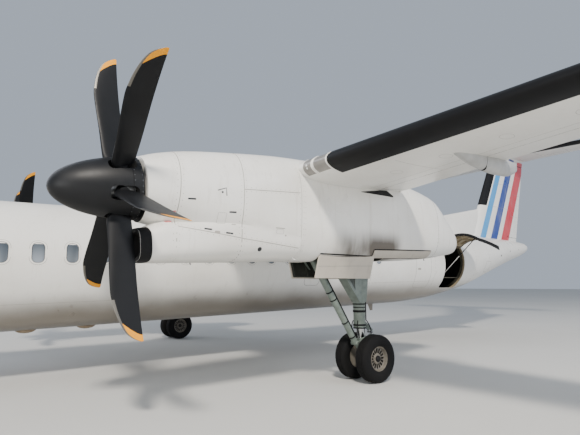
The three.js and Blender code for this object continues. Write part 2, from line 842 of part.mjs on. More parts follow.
function buildStairDoor() {
  const { from, to, head, hingeX, hingeZ, roll } = STAIR_DOOR;
  const panel = doorPanel(STAIR_DOOR)
    .intersect(box(400, 1700, at(from) + CLEARANCE, at(to) - CLEARANCE, hingeZ, head - CLEARANCE));
  const treads = [1, 2, 3, 4, 5].map((step) => {
    const z = hingeZ + 265 * step;
    const inside = 1000 + 250 * Math.sin((Math.PI * (z - 1165)) / 1675) - 40;
    const plate = box(inside - 190, inside, at(from) + 90, at(to) - 90, z - 14, z + 14);
    return turnedAbout(plate, [inside, 0, z], [0, 1, 0], 40);
  });
  return joined([panel, hingePins(stairLine, roll), ...treads]);
}

function buildBaggageDoor() {
  const { from, to, sill, hingeX, hingeZ, roll, open } = BAG_DOOR;
  const panel = doorPanel(BAG_DOOR)
    .intersect(box(400, 1700, at(from) + CLEARANCE, at(to) - CLEARANCE, sill + CLEARANCE, hingeZ));
  const closed = joined([panel, hingePins(bagLine, roll)]);
  const stay = bar(STAY.top, STAY.foot, STAY.radius, STAY.radius, 8);
  return turnedAbout(closed, [hingeX, 0, hingeZ], [0, -1, 0], open).add(stay);
}

// A room behind a doorway, as wide as the body's wall leaves
function room({ from, to, sill, head }, farX, { ahead, behind, below, above }) {
  return box(farX, 1700, at(from - ahead), at(to + behind), sill - below, head + above);
}

const vestibule = room(STAIR_DOOR, -900, { ahead: 130, behind: 130, below: 0, above: 60 })
  .intersect(bodyLoft(3200, 9000, -WALL));
const bagBay = room(BAG_DOOR, -1250, { ahead: 600, behind: 500, below: 10, above: 120 })
  .intersect(bodyLoft(19600, 25600, -WALL));
const NOSE_WELL = { halfWidth: 250, from: 1500, to: 2500, roof: 1330 };
const noseWell = box(
  -NOSE_WELL.halfWidth,
  NOSE_WELL.halfWidth,
  at(NOSE_WELL.from),
  at(NOSE_WELL.to),
  300,
  NOSE_WELL.roof,
);

const sectionCuts = [
  [noseWell],
  [vestibule, doorway(STAIR_DOOR)],
  [centreWingCutter],
  [bagBay, doorway(BAG_DOOR)],
  [],
];
const sectionExtras = [[], [], [], [stayPeg], []];
const SECTION_NAMES = ['fuselage_nose', 'fuselage_forward', 'fuselage_centre', 'fuselage_aft', 'tail_cone'];
SECTION_NAMES.forEach((name, i) => {
  const start = BODY_SPLITS[i] + (i === 0 ? 0 : SEAT_GAP);
  const shell = cutBy(bodyLoft(start, BODY_SPLITS[i + 1]), sectionCuts[i]);
  add(name, joined([shell, ...sectionExtras[i]]), COLOURS.white);
});
add('airstair_door', buildStairDoor(), COLOURS.white);
add('baggage_door', buildBaggageDoor(), COLOURS.white);

// Fairing over the wing's middle: columns are station, half width, top
const FAIRING = [
  [12500, 500, 3560],
  [13200, 900, 3800],
  [13900, 1080, 4000],
  [15000, 1120, 4060],
  [16600, 1080, 3960],
  [17800, 860, 3800],
  [19300, 420, 3640],
];
const fairing = loft(smoothRows(FAIRING, 12500, 19300, 1).map(([station, half, top]) => crossRing({
  y: at(station),
  half,
  top,
  bottom: 2600,
  power: 2.6,
  sides: 16,
})));
add('wing_fairing', cutBy(fairing, [centreWingCutter, bodyLoft(9000, 19600, SEAT_GAP)]), COLOURS.white);

// Nacelles and engines
const nacelle = buildNacelle(wingCutters);
addPair('cowl', nacelle.cowl, COLOURS.white);
addPair('nacelle', nacelle.nacelle, COLOURS.white);
addPair('exhaust', nacelle.exhaust, COLOURS.engine, 0.6, 0.8);
addPair('engine', nacelle.engine, COLOURS.engine, 0.6, 0.7);

// Propellers: both turn the same way round
[['left', 1, PROP.leftPhase], ['right', -1, PROP.rightPhase]].forEach(([side, sign, phase]) => {
  const { propeller, spinner } = buildPropeller(sign, phase);
  add(`propeller_${side}`, propeller, COLOURS.black, 0.4);
  add(`spinner_${side}`, spinner, COLOURS.black, 0.5);
});

// Fin, rudder, tailplane and elevators
function finRing(height, leading, trailing, thickness, grow = 0) {
  const chord = trailing - leading;
  return foil(thickness, 0, FOIL_STEPS).map(([f, h, sign]) => [
    h * chord + sign * grow,
    at(leading) + f * (chord + 2 * grow) - grow,
    height,
  ]);
}

const finWhole = loft(FIN_SECTIONS.map((row) => finRing(...row)));
const dorsal = loft([
  [3700, 21600, 30500, 0.036],
  [4560, 25300, 30600, 0.04],
  [5120, 28080, 30800, 0.03],
].map((row) => finRing(...row)));
const RUDDER = { bottom: 4010, top: 7700, chord: 1010 };
const finTrailing = (z) => {
  const [[z0, , t0], [z1, , t1]] = FIN_SECTIONS;
  return t0 + ((t1 - t0) * (z - z0)) / (z1 - z0);
};
const rudderLine = [RUDDER.bottom, RUDDER.top].map((z) => [0, at(finTrailing(z) - RUDDER.chord), z]);
hingeLines.rudder = rudderLine;

function rudderRegion(low, high, ahead) {
  const points = [[low, ahead], [low, -FAR], [high, -FAR], [high, ahead]];
  return sidePlate(points.map(([z, d]) => [at(finTrailing(z) - RUDDER.chord) - d, z]), -600, 600);
}

const rudderFrame = hingeFrame(...rudderLine);
const RUDDER_NOSE = { radius: 119, endRadius: 103, hollow: 10 };
const rudderNose = bar(
  rudderFrame.point(60),
  rudderFrame.point(rudderFrame.length - 30),
  RUDDER_NOSE.radius,
  RUDDER_NOSE.endRadius,
  HOLLOW_SIDES,
);
const rudderHollow = bar(
  rudderFrame.point(-60),
  rudderFrame.point(rudderFrame.length + 60),
  RUDDER_NOSE.radius + RUDDER_NOSE.hollow,
  RUDDER_NOSE.endRadius + RUDDER_NOSE.hollow,
  HOLLOW_SIDES,
);
const RUDDER_PIN = { radius: 20, low: 9.9, high: 19.5 };
const RUDDER_GAP = { below: 16, above: 25 };
const rudder = joined([
  finWhole.intersect(rudderRegion(RUDDER.bottom, RUDDER.top, 0)),
  rudderNose.intersect(rudderRegion(RUDDER.bottom, RUDDER.top, 400)),
  bar(rudderFrame.point(-RUDDER_PIN.low), rudderFrame.point(100), RUDDER_PIN.radius),
  bar(
    rudderFrame.point(rudderFrame.length - 100),
    rudderFrame.point(rudderFrame.length + RUDDER_PIN.high),
    RUDDER_PIN.radius,
  ),
]);
const finFixed = cutBy(finWhole.add(dorsal), [
  rudderRegion(RUDDER.bottom - RUDDER_GAP.below, RUDDER.top + RUDDER_GAP.above, 0),
  rudderHollow.intersect(rudderRegion(RUDDER.bottom - RUDDER_GAP.below, RUDDER.top + RUDDER_GAP.above, 400)),
  bodyLoft(19600, 32260, SEAT_GAP),
]);

function tailRing(x, grow = 0) {
  const share = Math.abs(x) / TAILPLANE.halfSpan;
  const chord = TAILPLANE.rootChord + (TAILPLANE.tipChord - TAILPLANE.rootChord) * share;
  return foil(TAILPLANE.thickness, 0, FOIL_STEPS).map(([f, h, sign]) => [
    x,
    at(TAILPLANE.trailing - chord) + f * (chord + 2 * grow) - grow,
    TAILPLANE.height + h * chord + sign * grow,
  ]);
}

// Bullet where fin and tailplane meet: columns are station, half width, top, bottom
const BULLET = [
  [29450, 30, 8120, 8060],
  [29750, 130, 8235, 7965],
  [30600, 190, 8340, 7880],
  [31700, 190, 8350, 7880],
  [32400, 110, 8260, 7950],
  [32700, 40, 8140, 8050],
];

function tailSolid(grow = 0) {
  const plane = loft([-TAILPLANE.halfSpan, 0, TAILPLANE.halfSpan].map((x) => tailRing(x, grow)));
  const bullet = loft(BULLET.map(([station, half, top, bottom], i) => crossRing({
    y: at(station) + (i === 0 ? -grow : grow),
    half,
    top,
    bottom,
    sides: 12,
    grow,
  })));
  return plane.add(bullet);
}

const ELEVATOR = { inner: 240, outer: 4560 };
const elevatorY = at(TAILPLANE.trailing - TAILPLANE.hingeChord);
const elevatorLine = [
  [ELEVATOR.inner, elevatorY, TAILPLANE.height],
  [ELEVATOR.outer, elevatorY, TAILPLANE.height],
];
hingeLines.elevator = elevatorLine;
const elevatorLeft = hingedSurface(tailSolid(), elevatorLine, tailRing, 300);
const mirroredLine = elevatorLine.map(([x, y, z]) => [-x, y, z]).reverse();
const tailFixed = hingedSurface(elevatorLeft.fixed, mirroredLine, tailRing, 300).fixed;
add('fin', finFixed.subtract(tailSolid(SEAT_GAP)), COLOURS.white);
add('rudder', rudder, COLOURS.white);
add('tailplane', tailFixed, COLOURS.white);
addPair('elevator', elevatorLeft.moving, COLOURS.white);

// Half lengths of the axles between their wheels
const AXLE = { main: 98, nose: 66 };

// Main undercarriage
const axle = [SIDE_X, at(MAIN.station), MAIN.tyreRadius];
const legY = at(15820);
const yoke = sidePlate([
  [at(15330), 2600],
  [at(15330), 1960],
  [at(15730), 1450],
  [at(15915), 1450],
  [at(15990), 1960],
  [at(15990), 2600],
], SIDE_X - 110, SIDE_X + 110);
const crossReach = WELL.halfWidth - SEAT_GAP;
const STRUT = { station: 14510, z: 2470, foot: 15700, footZ: 700, shaft: 60 };
const mainLeg = joined([
  yoke,
  bar([SIDE_X, legY, WELL.roof - SEAT_GAP], [SIDE_X, legY, 1000], 118, 112),
  bar([SIDE_X, legY, 1040], [SIDE_X, legY + 40, 760], 78, 78, 10),
  bar([SIDE_X, legY + 25, 800], axle, 96, 92, 10),
  bar([SIDE_X - AXLE.main, axle[1], axle[2]], [SIDE_X + AXLE.main, axle[1], axle[2]], 88, 88, 10),
  bar([SIDE_X, at(STRUT.station), STRUT.z], [SIDE_X, at(STRUT.foot), STRUT.footZ], 72, 56, 10),
  bar([SIDE_X, at(STRUT.foot - 35), STRUT.footZ + 50], [SIDE_X, axle[1] - 20, axle[2] + 40], 50, 50, 8),
  bar(
    [SIDE_X - crossReach, at(STRUT.station), STRUT.z],
    [SIDE_X + crossReach, at(STRUT.station), STRUT.z],
    STRUT.shaft,
    STRUT.shaft,
    10,
  ),
]);
addPair('main_leg', mainLeg, COLOURS.legs, 0.5, 0.2);
// The open wheel doors hang from the nacelle's lower edges, and lean in towards the wheels
const GEAR_DOOR = {
  from: 14440,
  to: 15790,
  low: 1870,
  high: 2320,
  inner: 412,
  outer: 442,
  hinge: 2250,
  lean: 17,
};
function mainDoor(side) {
  const { from, to, low, high, inner, outer, hinge, lean } = GEAR_DOOR;
  const [x0, x1] = [SIDE_X + side * inner, SIDE_X + side * outer];
  const plate = box(Math.min(x0, x1), Math.max(x0, x1), at(from), at(to), low, high);
  return turnedAbout(plate, [x1, 0, hinge], [0, 1, 0], side * lean).subtract(nacelle.shellGrown);
}
addPair('gear_door_outer', mainDoor(1), COLOURS.white);
addPair('gear_door_inner', mainDoor(-1), COLOURS.white);

const mainWheels = twinHubs(MAIN, ...axle, 60, AXLE.main + SEAT_GAP);
[['outer', 1], ['inner', -1]].forEach(([label, sign], k) => {
  const middle = [SIDE_X + (sign * MAIN.spacing) / 2, axle[1], axle[2]];
  addPair(`main_tyre_${label}`, turnedOnX(tyreProfile(MAIN), middle, WHEEL_SEGMENTS), COLOURS.tyre, 0.9);
  addPair(`main_hub_${label}`, mainWheels[k], COLOURS.rim, 0.4, 0.6);
});

// Nose undercarriage
const noseAxle = [0, at(NOSE.station), NOSE.tyreRadius];
const noseLegY = noseAxle[1] - NOSE.trail;
const noseReach = NOSE_WELL.halfWidth - SEAT_GAP;
const NOSE_SWIVEL = 640;
const noseLeg = joined([
  bar([0, noseLegY, NOSE_WELL.roof - SEAT_GAP], [0, noseLegY, NOSE_SWIVEL], 75),
  bar([0, noseLegY + 30, 1100], [0, at(2480), 1250], 40, 40, 8),
  bar([-noseReach, noseLegY, 1220], [noseReach, noseLegY, 1220], 55, 55, 10),
]);
const noseFork = joined([
  bar([0, noseLegY, NOSE_SWIVEL - SEAT_GAP], [0, noseLegY, 380], 58),
  bar([0, noseLegY, 420], noseAxle, 52, 52, 10),
  bar([-AXLE.nose, noseAxle[1], noseAxle[2]], [AXLE.nose, noseAxle[1], noseAxle[2]], 50, 50, 10),
]);
add('nose_leg', noseLeg, COLOURS.legs, 0.5, 0.2);
add('nose_fork', noseFork, COLOURS.legs, 0.5, 0.2);
const noseWheels = twinHubs(NOSE, ...noseAxle, 36, AXLE.nose + SEAT_GAP);
[['left', 1], ['right', -1]].forEach(([label, sign], k) => {
  const middle = [(sign * NOSE.spacing) / 2, noseAxle[1], noseAxle[2]];
  add(`nose_tyre_${label}`, turnedOnX(tyreProfile(NOSE), middle, WHEEL_SEGMENTS), COLOURS.tyre, 0.9);
  add(`nose_hub_${label}`, noseWheels[k], COLOURS.rim, 0.4, 0.6);
});
const noseSkin = bodyLoft(0, 3200, SEAT_GAP);
const noseDoor = cutBy(box(252, 272, at(1700), at(2300), 620, 1200), [noseSkin, mirrored(noseSkin)]);
addPair('nose_door', noseDoor, COLOURS.white);

aircraft.userData.hingeLines = hingeLines;

export default aircraft;
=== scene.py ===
"""A high-wing twin turboprop airliner, modelled in Blender round its packed CAD solids."""

import math
from bisect import bisect_right
from functools import partial
from types import SimpleNamespace

import bmesh
import bpy
from mathutils import Matrix, Vector
from mathutils.bvhtree import BVHTree


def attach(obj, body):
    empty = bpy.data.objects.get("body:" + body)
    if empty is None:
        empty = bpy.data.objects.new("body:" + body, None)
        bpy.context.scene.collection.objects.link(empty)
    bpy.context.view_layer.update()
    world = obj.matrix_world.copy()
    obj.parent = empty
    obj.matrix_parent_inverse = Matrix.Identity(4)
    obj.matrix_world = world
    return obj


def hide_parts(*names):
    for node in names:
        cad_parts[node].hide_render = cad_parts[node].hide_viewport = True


bl_info = {
    "name": "Turboprop airliner",
    "version": (1, 0, 0),
    "blender": (4, 5, 0),
    "location": "3D View > Sidebar > Airliner",
    "description": "Skins, details and finishes of a high-wing twin turboprop airliner",
    "category": "Object",
}

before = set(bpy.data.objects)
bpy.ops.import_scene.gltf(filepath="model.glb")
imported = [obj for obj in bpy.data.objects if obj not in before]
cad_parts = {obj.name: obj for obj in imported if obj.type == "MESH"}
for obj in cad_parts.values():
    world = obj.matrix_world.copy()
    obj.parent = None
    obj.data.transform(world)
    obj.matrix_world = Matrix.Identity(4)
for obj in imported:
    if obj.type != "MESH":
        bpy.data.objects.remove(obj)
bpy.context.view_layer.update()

# Driving sizes, in millimetres, the same as in the part's source
LENGTH = 32830
SIDE_X = 4400
WALL = 75
CLEARANCE = 8
SHAFT_TILT = math.radians(4.64)
MM = 0.001
FAR = 4000
SIDES = (("left", 1), ("right", -1))
FLANKS = (("outer", 1), ("inner", -1))
AXIS_RISE = 0.0247

# Body sections: station, half width, top and bottom from the body axis
BODY = [
    (0, 45, -330, -410),
    (130, 215, -165, -570),
    (420, 400, 30, -745),
    (950, 640, 250, -940),
    (1600, 860, 455, -1085),
    (2150, 1000, 640, -1165),
    (2750, 1120, 965, -1215),
    (3200, 1195, 1110, -1245),
    (4100, 1292, 1235, -1272),
    (5200, 1345, 1280, -1280),
    (9000, 1345, 1280, -1280),
    (19600, 1345, 1280, -1280),
    (21800, 1345, 1280, -1275),
    (23400, 1335, 1280, -1200),
    (24700, 1290, 1275, -1040),
    (25600, 1225, 1266, -905),
    (27970, 930, 1245, -331),
    (29800, 640, 1210, 113),
    (31630, 330, 1110, 518),
    (32060, 210, 1050, 665),
    (32260, 70, 915, 760),
]
# Nacelle sections: station, half width, top, bottom, corner powers above and below, share of shaft tilt
NACELLE = [
    (11480, 455, 3548, 2636, 2, 2, 1),
    (11720, 484, 3640, 2596, 2, 2, 0.7),
    (12100, 518, 3735, 2510, 2.1, 2.1, 0.25),
    (12700, 544, 3825, 2370, 2.25, 2.25, 0),
    (13980, 560, 3955, 2165, 2.5, 3.4, 0),
    (15200, 560, 3998, 2190, 2.5, 4.4, 0),
    (16400, 550, 3950, 2245, 2.5, 4.4, 0),
    (17200, 510, 3865, 2288, 2.45, 3.8, 0),
    (17750, 455, 3775, 2335, 2.4, 3, 0),
    (18050, 415, 3690, 2365, 2.35, 2.6, 0),
    (18250, 380, 3550, 2395, 2.3, 2.4, 0),
    (18700, 290, 3165, 2460, 2.2, 2.2, 0),
    (18880, 235, 2995, 2500, 2.2, 2.2, 0),
    (18960, 120, 2880, 2580, 2, 2, 0),
]
# Chin duct sections, in the same columns
CHIN = [
    (11450, 345, 2530, 2086, 3.4, 3.4, 1),
    (11600, 372, 2560, 2080, 3.3, 3.3, 0.9),
    (11720, 398, 2640, 2078, 3.2, 3.2, 0.75),
    (12100, 440, 2700, 2092, 3, 3, 0.3),
    (12900, 500, 2900, 2122, 2.7, 2.8, 0),
    (13970, 535, 3000, 2172, 2.5, 3.2, 0),
]
# Intake duct: station, half width, top, bottom
DUCT = [
    (11410, 314, 2494, 2124),
    (12250, 300, 2560, 2150),
]
COWL_END = 13980
COWL_TOP_END = 15100
# Wing-root fairing: station, half width, top
FAIRING = [
    (12500, 500, 3560),
    (13200, 900, 3800),
    (13900, 1080, 4000),
    (15000, 1120, 4060),
    (16600, 1080, 3960),
    (17800, 860, 3800),
    (19300, 420, 3640),
]
# Bullet on the fin: station, half width, top, bottom
BULLET = [
    (29450, 30, 8120, 8060),
    (29750, 130, 8235, 7965),
    (30600, 190, 8340, 7880),
    (31700, 190, 8350, 7880),
    (32400, 110, 8260, 7950),
    (32700, 40, 8140, 8050),
]
# Flap-track fairing: share of its length, half width, depth below the wing
TRACK = [
    (0, 12, 20),
    (0.12, 62, 90),
    (0.35, 98, 195),
    (0.6, 104, 240),
    (0.8, 80, 225),
    (0.93, 42, 150),
    (1, 12, 80),
]
# Blade: radius, leading edge ahead of the pitch axis, trailing edge behind it, thickness
BLADE = [
    (330, 88, 88, 130),
    (450, 150, 160, 78),
    (800, 160, 163, 52),
    (1400, 186, 156, 30),
    (1600, 158, 158, 24),
    (1780, 108, 162, 18),
    (1930, 35, 168, 13),
    (2010, -55, 172, 10),
    (2052, -140, 174, 7),
]

WING_LEADING, WING_ROOT, WING_TIP_CHORD, WING_TIP_X = 13950, 2720, 1270, 14210
WING_SWEEP, WING_DIHEDRAL, WING_HEIGHT = 0.067, 0.0437, 3672
WING_INCIDENCE, WING_CAMBER = math.radians(1.05), 0.02
FLAP_CUT, FLAP_DROP, FLAP_TURN = 0.72, 235, 35
TAIL_Z, TAIL_HALF, TAIL_ROOT, TAIL_TIP, TAIL_HINGE = 8090, 4635, 2150, 1350, 660
RUDDER_LOW, RUDDER_HIGH, RUDDER_CHORD = 4010, 7700, 1010
PROP_STATION, PROP_Z = 11198, 3073
LEFT_PHASE, RIGHT_PHASE = -18.7, 4.5
MAIN_STATION, MAIN_RADIUS, MAIN_WIDTH, MAIN_RIM, MAIN_SPACING = 15939, 430, 273, 225, 536
NOSE_STATION, NOSE_RADIUS, NOSE_WIDTH, NOSE_RIM, NOSE_SPACING = 1990, 280, 165, 120, 330
STAIR = {"from": 3540, "to": 4300, "sill": 1165, "head": 2840, "x": 972, "z": 1190}
BAG = {"from": 23380, "to": 24670, "sill": 1680, "head": 3203, "x": 1122, "z": 3175, "open": 101}


def row_y(station):
    return station - LENGTH / 2


def axis_height(station):
    return 2316 + AXIS_RISE * row_y(station)


class Curve:
    """A smooth curve through a table's rows that never overshoots them."""

    def __init__(self, table):
        self.stops = [row[0] for row in table]
        self.rows = [row[1:] for row in table]
        steps = [b - a for a, b in zip(self.stops, self.stops[1:])]
        self.slopes = []
        for column in zip(*self.rows):
            rises = [(b - a) / h for a, b, h in zip(column, column[1:], steps)]
            inner = [0 if a * b <= 0 else 2 * a * b / (a + b) for a, b in zip(rises, rises[1:])]
            self.slopes.append([rises[0], *inner, rises[-1]])

    def __call__(self, stop):
        i = min(max(bisect_right(self.stops, stop) - 1, 0), len(self.stops) - 2)
        h = self.stops[i + 1] - self.stops[i]
        t = (stop - self.stops[i]) / h
        out = []
        for k, slope in enumerate(self.slopes):
            a, b = self.rows[i][k], self.rows[i + 1][k]
            out.append((2 * t**3 - 3 * t**2 + 1) * a + (t**3 - 2 * t**2 + t) * h * slope[i] + (
                    3 * t**2 - 2 * t**3) * b + (t**3 - t**2) * h * slope[i + 1])
        return out


body_curve, nacelle_curve, chin_curve = Curve(BODY), Curve(NACELLE), Curve(CHIN)
fairing_curve, bullet_curve, track_curve, blade_curve = Curve(FAIRING), Curve(BULLET), Curve(TRACK), Curve(
    BLADE)
duct_curve = Curve(DUCT)


def spread(start, end, count):
    return [start + (end - start) * i / count for i in range(count + 1)]


# Rings of points, in millimetres


def rounded_rect(centre, size, corner, steps=5):
    """A rounded rectangle as (station, height) points, closed."""
    (cx, cz), (length, height) = centre, size
    points = []
    for sx, sz, first in ((1, 1, 0), (-1, 1, 90), (-1, -1, 180), (1, -1, 270)):
        for k in range(steps + 1):
            angle = math.radians(first + 90 * k / max(1, steps))
            points.append((cx + sx * (length / 2 - corner) + corner * math.cos(angle),
                    cz + sz * (height / 2 - corner) + corner * math.sin(angle)))
    return [*points, points[0]]


def cross_ring(x, y, half, top, bottom, power=2, tilt=0, sides=64, grow=0, low_power=None):
    """A rounded ring across the body: power 2 is an ellipse, higher is squarer, low_power is below."""
    middle, tall, wide = (top + bottom) / 2, (top - bottom) / 2 + grow, half + grow
    points = []
    for i in range(sides):
        angle = 2 * math.pi * (i + 0.5) / sides
        across, up = math.cos(angle), math.sin(angle)
        corner = power if up >= 0 or low_power is None else low_power
        across = math.copysign(abs(across) ** (2 / corner), across)
        up = math.copysign(abs(up) ** (2 / corner), up)
        points.append((x + wide * across, y - tall * up * math.tan(tilt), middle + tall * up))
    return points


def body_ring(station, grow=0, sides=96):
    half, top, bottom = body_curve(station)
    if station < BODY[1][0]:
        share = math.sqrt(max(station, 0.4) / BODY[1][0])
        middle = axis_height(station) + (top + bottom) / 2
        half, tall = BODY[1][1] * share, (BODY[1][2] - BODY[1][3]) / 2 * share
        return cross_ring(0, row_y(station), half, middle + tall, middle - tall, sides=sides, grow=grow)
    height = axis_height(station)
    return cross_ring(0, row_y(station), half, height + top, height + bottom, sides=sides, grow=grow)


def pod_ring(curve, station, grow=0, sides=72):
    half, top, bottom, power, low_power, tilt = curve(station)
    return cross_ring(SIDE_X, row_y(station), half, top, bottom, power, tilt * SHAFT_TILT, sides, grow,
        low_power)


def half_thickness(thickness, f):
    return 5 * thickness * (0.2969 * math.sqrt(f) - 0.126 * f - 0.3516 * f**2 + 0.2843 * f**3 - 0.1015
        * f**4)


def camber_line(camber, f):
    if f < 0.4:
        return camber / 0.16 * (0.8 * f - f * f)
    return camber / 0.36 * (0.2 + 0.8 * f - f * f)


def foil(thickness, camber, steps):
    """A wing section as (share of chord, height over chord, side), from the rear over the top and back."""
    shares = [(1 + math.cos(math.pi * i / steps)) / 2 for i in range(steps)]
    upper = [(f, camber_line(camber, f) + half_thickness(thickness, f), 1) for f in shares]
    lower = [(f, camber_line(camber, f) - half_thickness(thickness, f), -1) for f in reversed(shares)]
    return [*upper, (0, 0, 0), *lower]


def wing_row(x):
    out = max(0, x - SIDE_X)
    share = out / (WING_TIP_X - SIDE_X)
    return {
        "x": x,
        "leading": WING_LEADING + WING_SWEEP * out,
        "height": WING_HEIGHT + WING_DIHEDRAL * out,
        "chord": WING_ROOT + (WING_TIP_CHORD - WING_ROOT) * share,
        "thickness": 0.18 - 0.05 * share,
    }


def wing_place(row, f, h, lift=0):
    along, up = f * row["chord"], h * row["chord"] + lift
    cos, sin = math.cos(WING_INCIDENCE), math.sin(WING_INCIDENCE)
    return (row["x"], row_y(row["leading"]) + along * cos + up * sin,
        row["height"] - along * sin + up * cos)


WING_STEPS = 26


def wing_ring(row):
    return [wing_place(row, f, h) for f, h, _ in foil(row["thickness"], WING_CAMBER, WING_STEPS)]


def wing_point(x, share):
    camber = WING_CAMBER / 0.36 * (0.2 + 0.8 * share - share * share)
    return wing_place(wing_row(x), share, camber)


def tip_row(x, chord_share, thick_share):
    row = wing_row(x)
    lost = row["chord"] * (1 - chord_share)
    return {
        **row,
        "leading": row["leading"] + lost * 0.7,
        "chord": row["chord"] - lost,
        "thickness": row["thickness"] * thick_share / chord_share,
    }


WING_TIP = [(13850, 1, 1), (14000, 0.98, 0.9), (14080, 0.96, 0.78), (14140, 0.93, 0.6), (14185, 0.89, 0.38),
    (WING_TIP_X, 0.84, 0.12)]


def fin_row(z):
    share = (z - 3700) / 4260
    return 27230 + 2486 * share, 31330 + 1350 * share, 0.11 - 0.01 * share


def fin_ring(z, leading, trailing, thickness, steps=22):
    chord = trailing - leading
    return [(h * chord, row_y(leading) + f * chord, z) for f, h, _ in foil(thickness, 0, steps)]


def fin_trailing(z):
    return fin_row(z)[1]


def tail_chord(x):
    return TAIL_ROOT + (TAIL_TIP - TAIL_ROOT) * (abs(x) / TAIL_HALF)


def tail_ring(x, steps=22):
    chord = tail_chord(x)
    return [(x, row_y(LENGTH - chord) + f * chord, TAIL_Z + h * chord) for f, h, _ in foil(0.12, 0, steps)]


# Working with Blender's tools


def deselect():
    if bpy.context.mode != "OBJECT":
        bpy.ops.object.mode_set(mode="OBJECT")
    bpy.ops.object.select_all(action="DESELECT")


def take(piece):
    """Makes one piece the only selected and active one."""
    deselect()
    piece.select_set(True)
    bpy.context.view_layer.objects.active = piece


def named(name, material=None):
    """Names the new active piece, puts its place into its mesh and gives it a material."""
    piece = bpy.context.object
    piece.name = piece.data.name = name
    bpy.ops.object.transform_apply(location=True, rotation=True, scale=True)
    if material:
        piece.data.materials.clear()
        piece.data.materials.append(material)
    return piece


def smooth(piece, degrees=32):
    take(piece)
    bpy.ops.object.shade_smooth_by_angle(angle=math.radians(degrees))
    return piece


def modify(piece, kind, **settings):
    """Adds a modifier, sets it and applies it."""
    take(piece)
    bpy.ops.object.modifier_add(type=kind)
    modifier = piece.modifiers[-1]
    for key, value in settings.items():
        setattr(modifier, key, value)
    bpy.ops.object.modifier_apply(modifier=modifier.name)
    return piece


def carve(piece, *cutters, how="DIFFERENCE", keep=False):
    """Cuts, joins or trims a piece with others, which are used up unless they are kept."""
    for cutter in cutters:
        modify(piece, "BOOLEAN", object=cutter, operation=how, solver="EXACT", material_mode="TRANSFER")
        if not keep:
            bpy.data.objects.remove(cutter)
    return piece


def join(name, pieces):
    take(pieces[0])
    for piece in pieces[1:]:
        piece.select_set(True)
    bpy.ops.object.join()
    pieces[0].name = pieces[0].data.name = name
    return pieces[0]


def copied(piece, name, matrix=None):
    """A copy with its own mesh, moved in its mesh."""
    twin = piece.copy()
    twin.data = piece.data.copy()
    twin.name = twin.data.name = name
    bpy.context.scene.collection.objects.link(twin)
    if matrix:
        twin.data.transform(matrix)
        if matrix.determinant() < 0:
            twin.data.flip_normals()
    return twin


MIRROR = Matrix.Scale(-1, 4, (1, 0, 0))


def skin(name, rings, material, closed=True, chart=None):
    """A ring of edges extruded once for each section, each new ring set to its section, in millimetres.

    A chart gives each point of each ring its place on the piece's own UV map.
    """
    count = len(rings[0])
    deselect()
    bpy.ops.mesh.primitive_circle_add(vertices=count, radius=1, enter_editmode=True)
    for _ in rings[1:]:
        bpy.ops.mesh.extrude_region_move()
    bpy.ops.object.mode_set(mode="OBJECT")
    piece = named(name, material)
    mesh = bmesh.new()
    mesh.from_mesh(piece.data)
    mesh.verts.ensure_lookup_table()
    current, seen, loops, charted = list(mesh.verts[:count]), set(), [], {}
    for row, ring in enumerate(rings):
        seen.update(current)
        loops.append(current)
        for i, (vertex, point) in enumerate(zip(current, ring)):
            vertex.co = [value * MM for value in point]
            charted[vertex] = chart[row][i] if chart else None
        following = [[e.other_vert(v) for e in v.link_edges if e.other_vert(v) not in seen]
            for v in current]
        current = [near[0] for near in following if near]
    if closed:
        mesh.faces.new(loops[0])
        mesh.faces.new(loops[-1])
    bmesh.ops.recalc_face_normals(mesh, faces=mesh.faces)
    if chart:
        layer = mesh.loops.layers.uv.new(name)
        for face in mesh.faces:
            for loop in face.loops:
                loop[layer].uv = charted[loop.vert]
    mesh.to_mesh(piece.data)
    mesh.free()
    return smooth(piece)


def rounded(piece, offset, segments, pick=None):
    """Rounds a piece's edges in edit mode: all of them, or those that pick selects in its mesh."""
    bpy.ops.object.mode_set(mode="EDIT")
    bpy.ops.mesh.select_all(action="DESELECT" if pick else "SELECT")
    if pick:
        pick(bmesh.from_edit_mesh(piece.data))
    bpy.ops.mesh.bevel(offset=offset * MM, segments=segments, affect="EDGES")
    bpy.ops.object.mode_set(mode="OBJECT")


def block(name, x, y, z, material=None, matrix=None, bevel=0):
    """A box from its ranges in millimetres, turned into place by a matrix."""
    deselect()
    size = [(high - low) * MM for low, high in (x, y, z)]
    middle = [(high + low) / 2 * MM for low, high in (x, y, z)]
    bpy.ops.mesh.primitive_cube_add(size=1, location=middle, scale=size)
    piece = named(name, material)
    if bevel:
        rounded(piece, bevel, 3)
        smooth(piece)
    if matrix:
        piece.data.transform(matrix)
    return piece


def rod(name, start, end, radius, material, end_radius=None, sides=32, bevel=0):
    """A round bar between two points in millimetres, with rounded rims."""
    a, b = Vector(start) * MM, Vector(end) * MM
    along = b - a
    deselect()
    bpy.ops.mesh.primitive_cone_add(
        vertices=sides,
        radius1=radius * MM,
        radius2=(radius if end_radius is None else end_radius) * MM,
        depth=along.length,
    )
    piece = bpy.context.object

    def pick_ends(mesh):
        for face in mesh.faces:
            face.select = len(face.verts) > 4

    if bevel:
        rounded(piece, bevel, 2, pick_ends)
    piece.data.transform(along.to_track_quat("Z", "Y").to_matrix().to_4x4())
    piece.data.transform(Matrix.Translation((a + b) / 2))
    named(name, material)
    return smooth(piece)


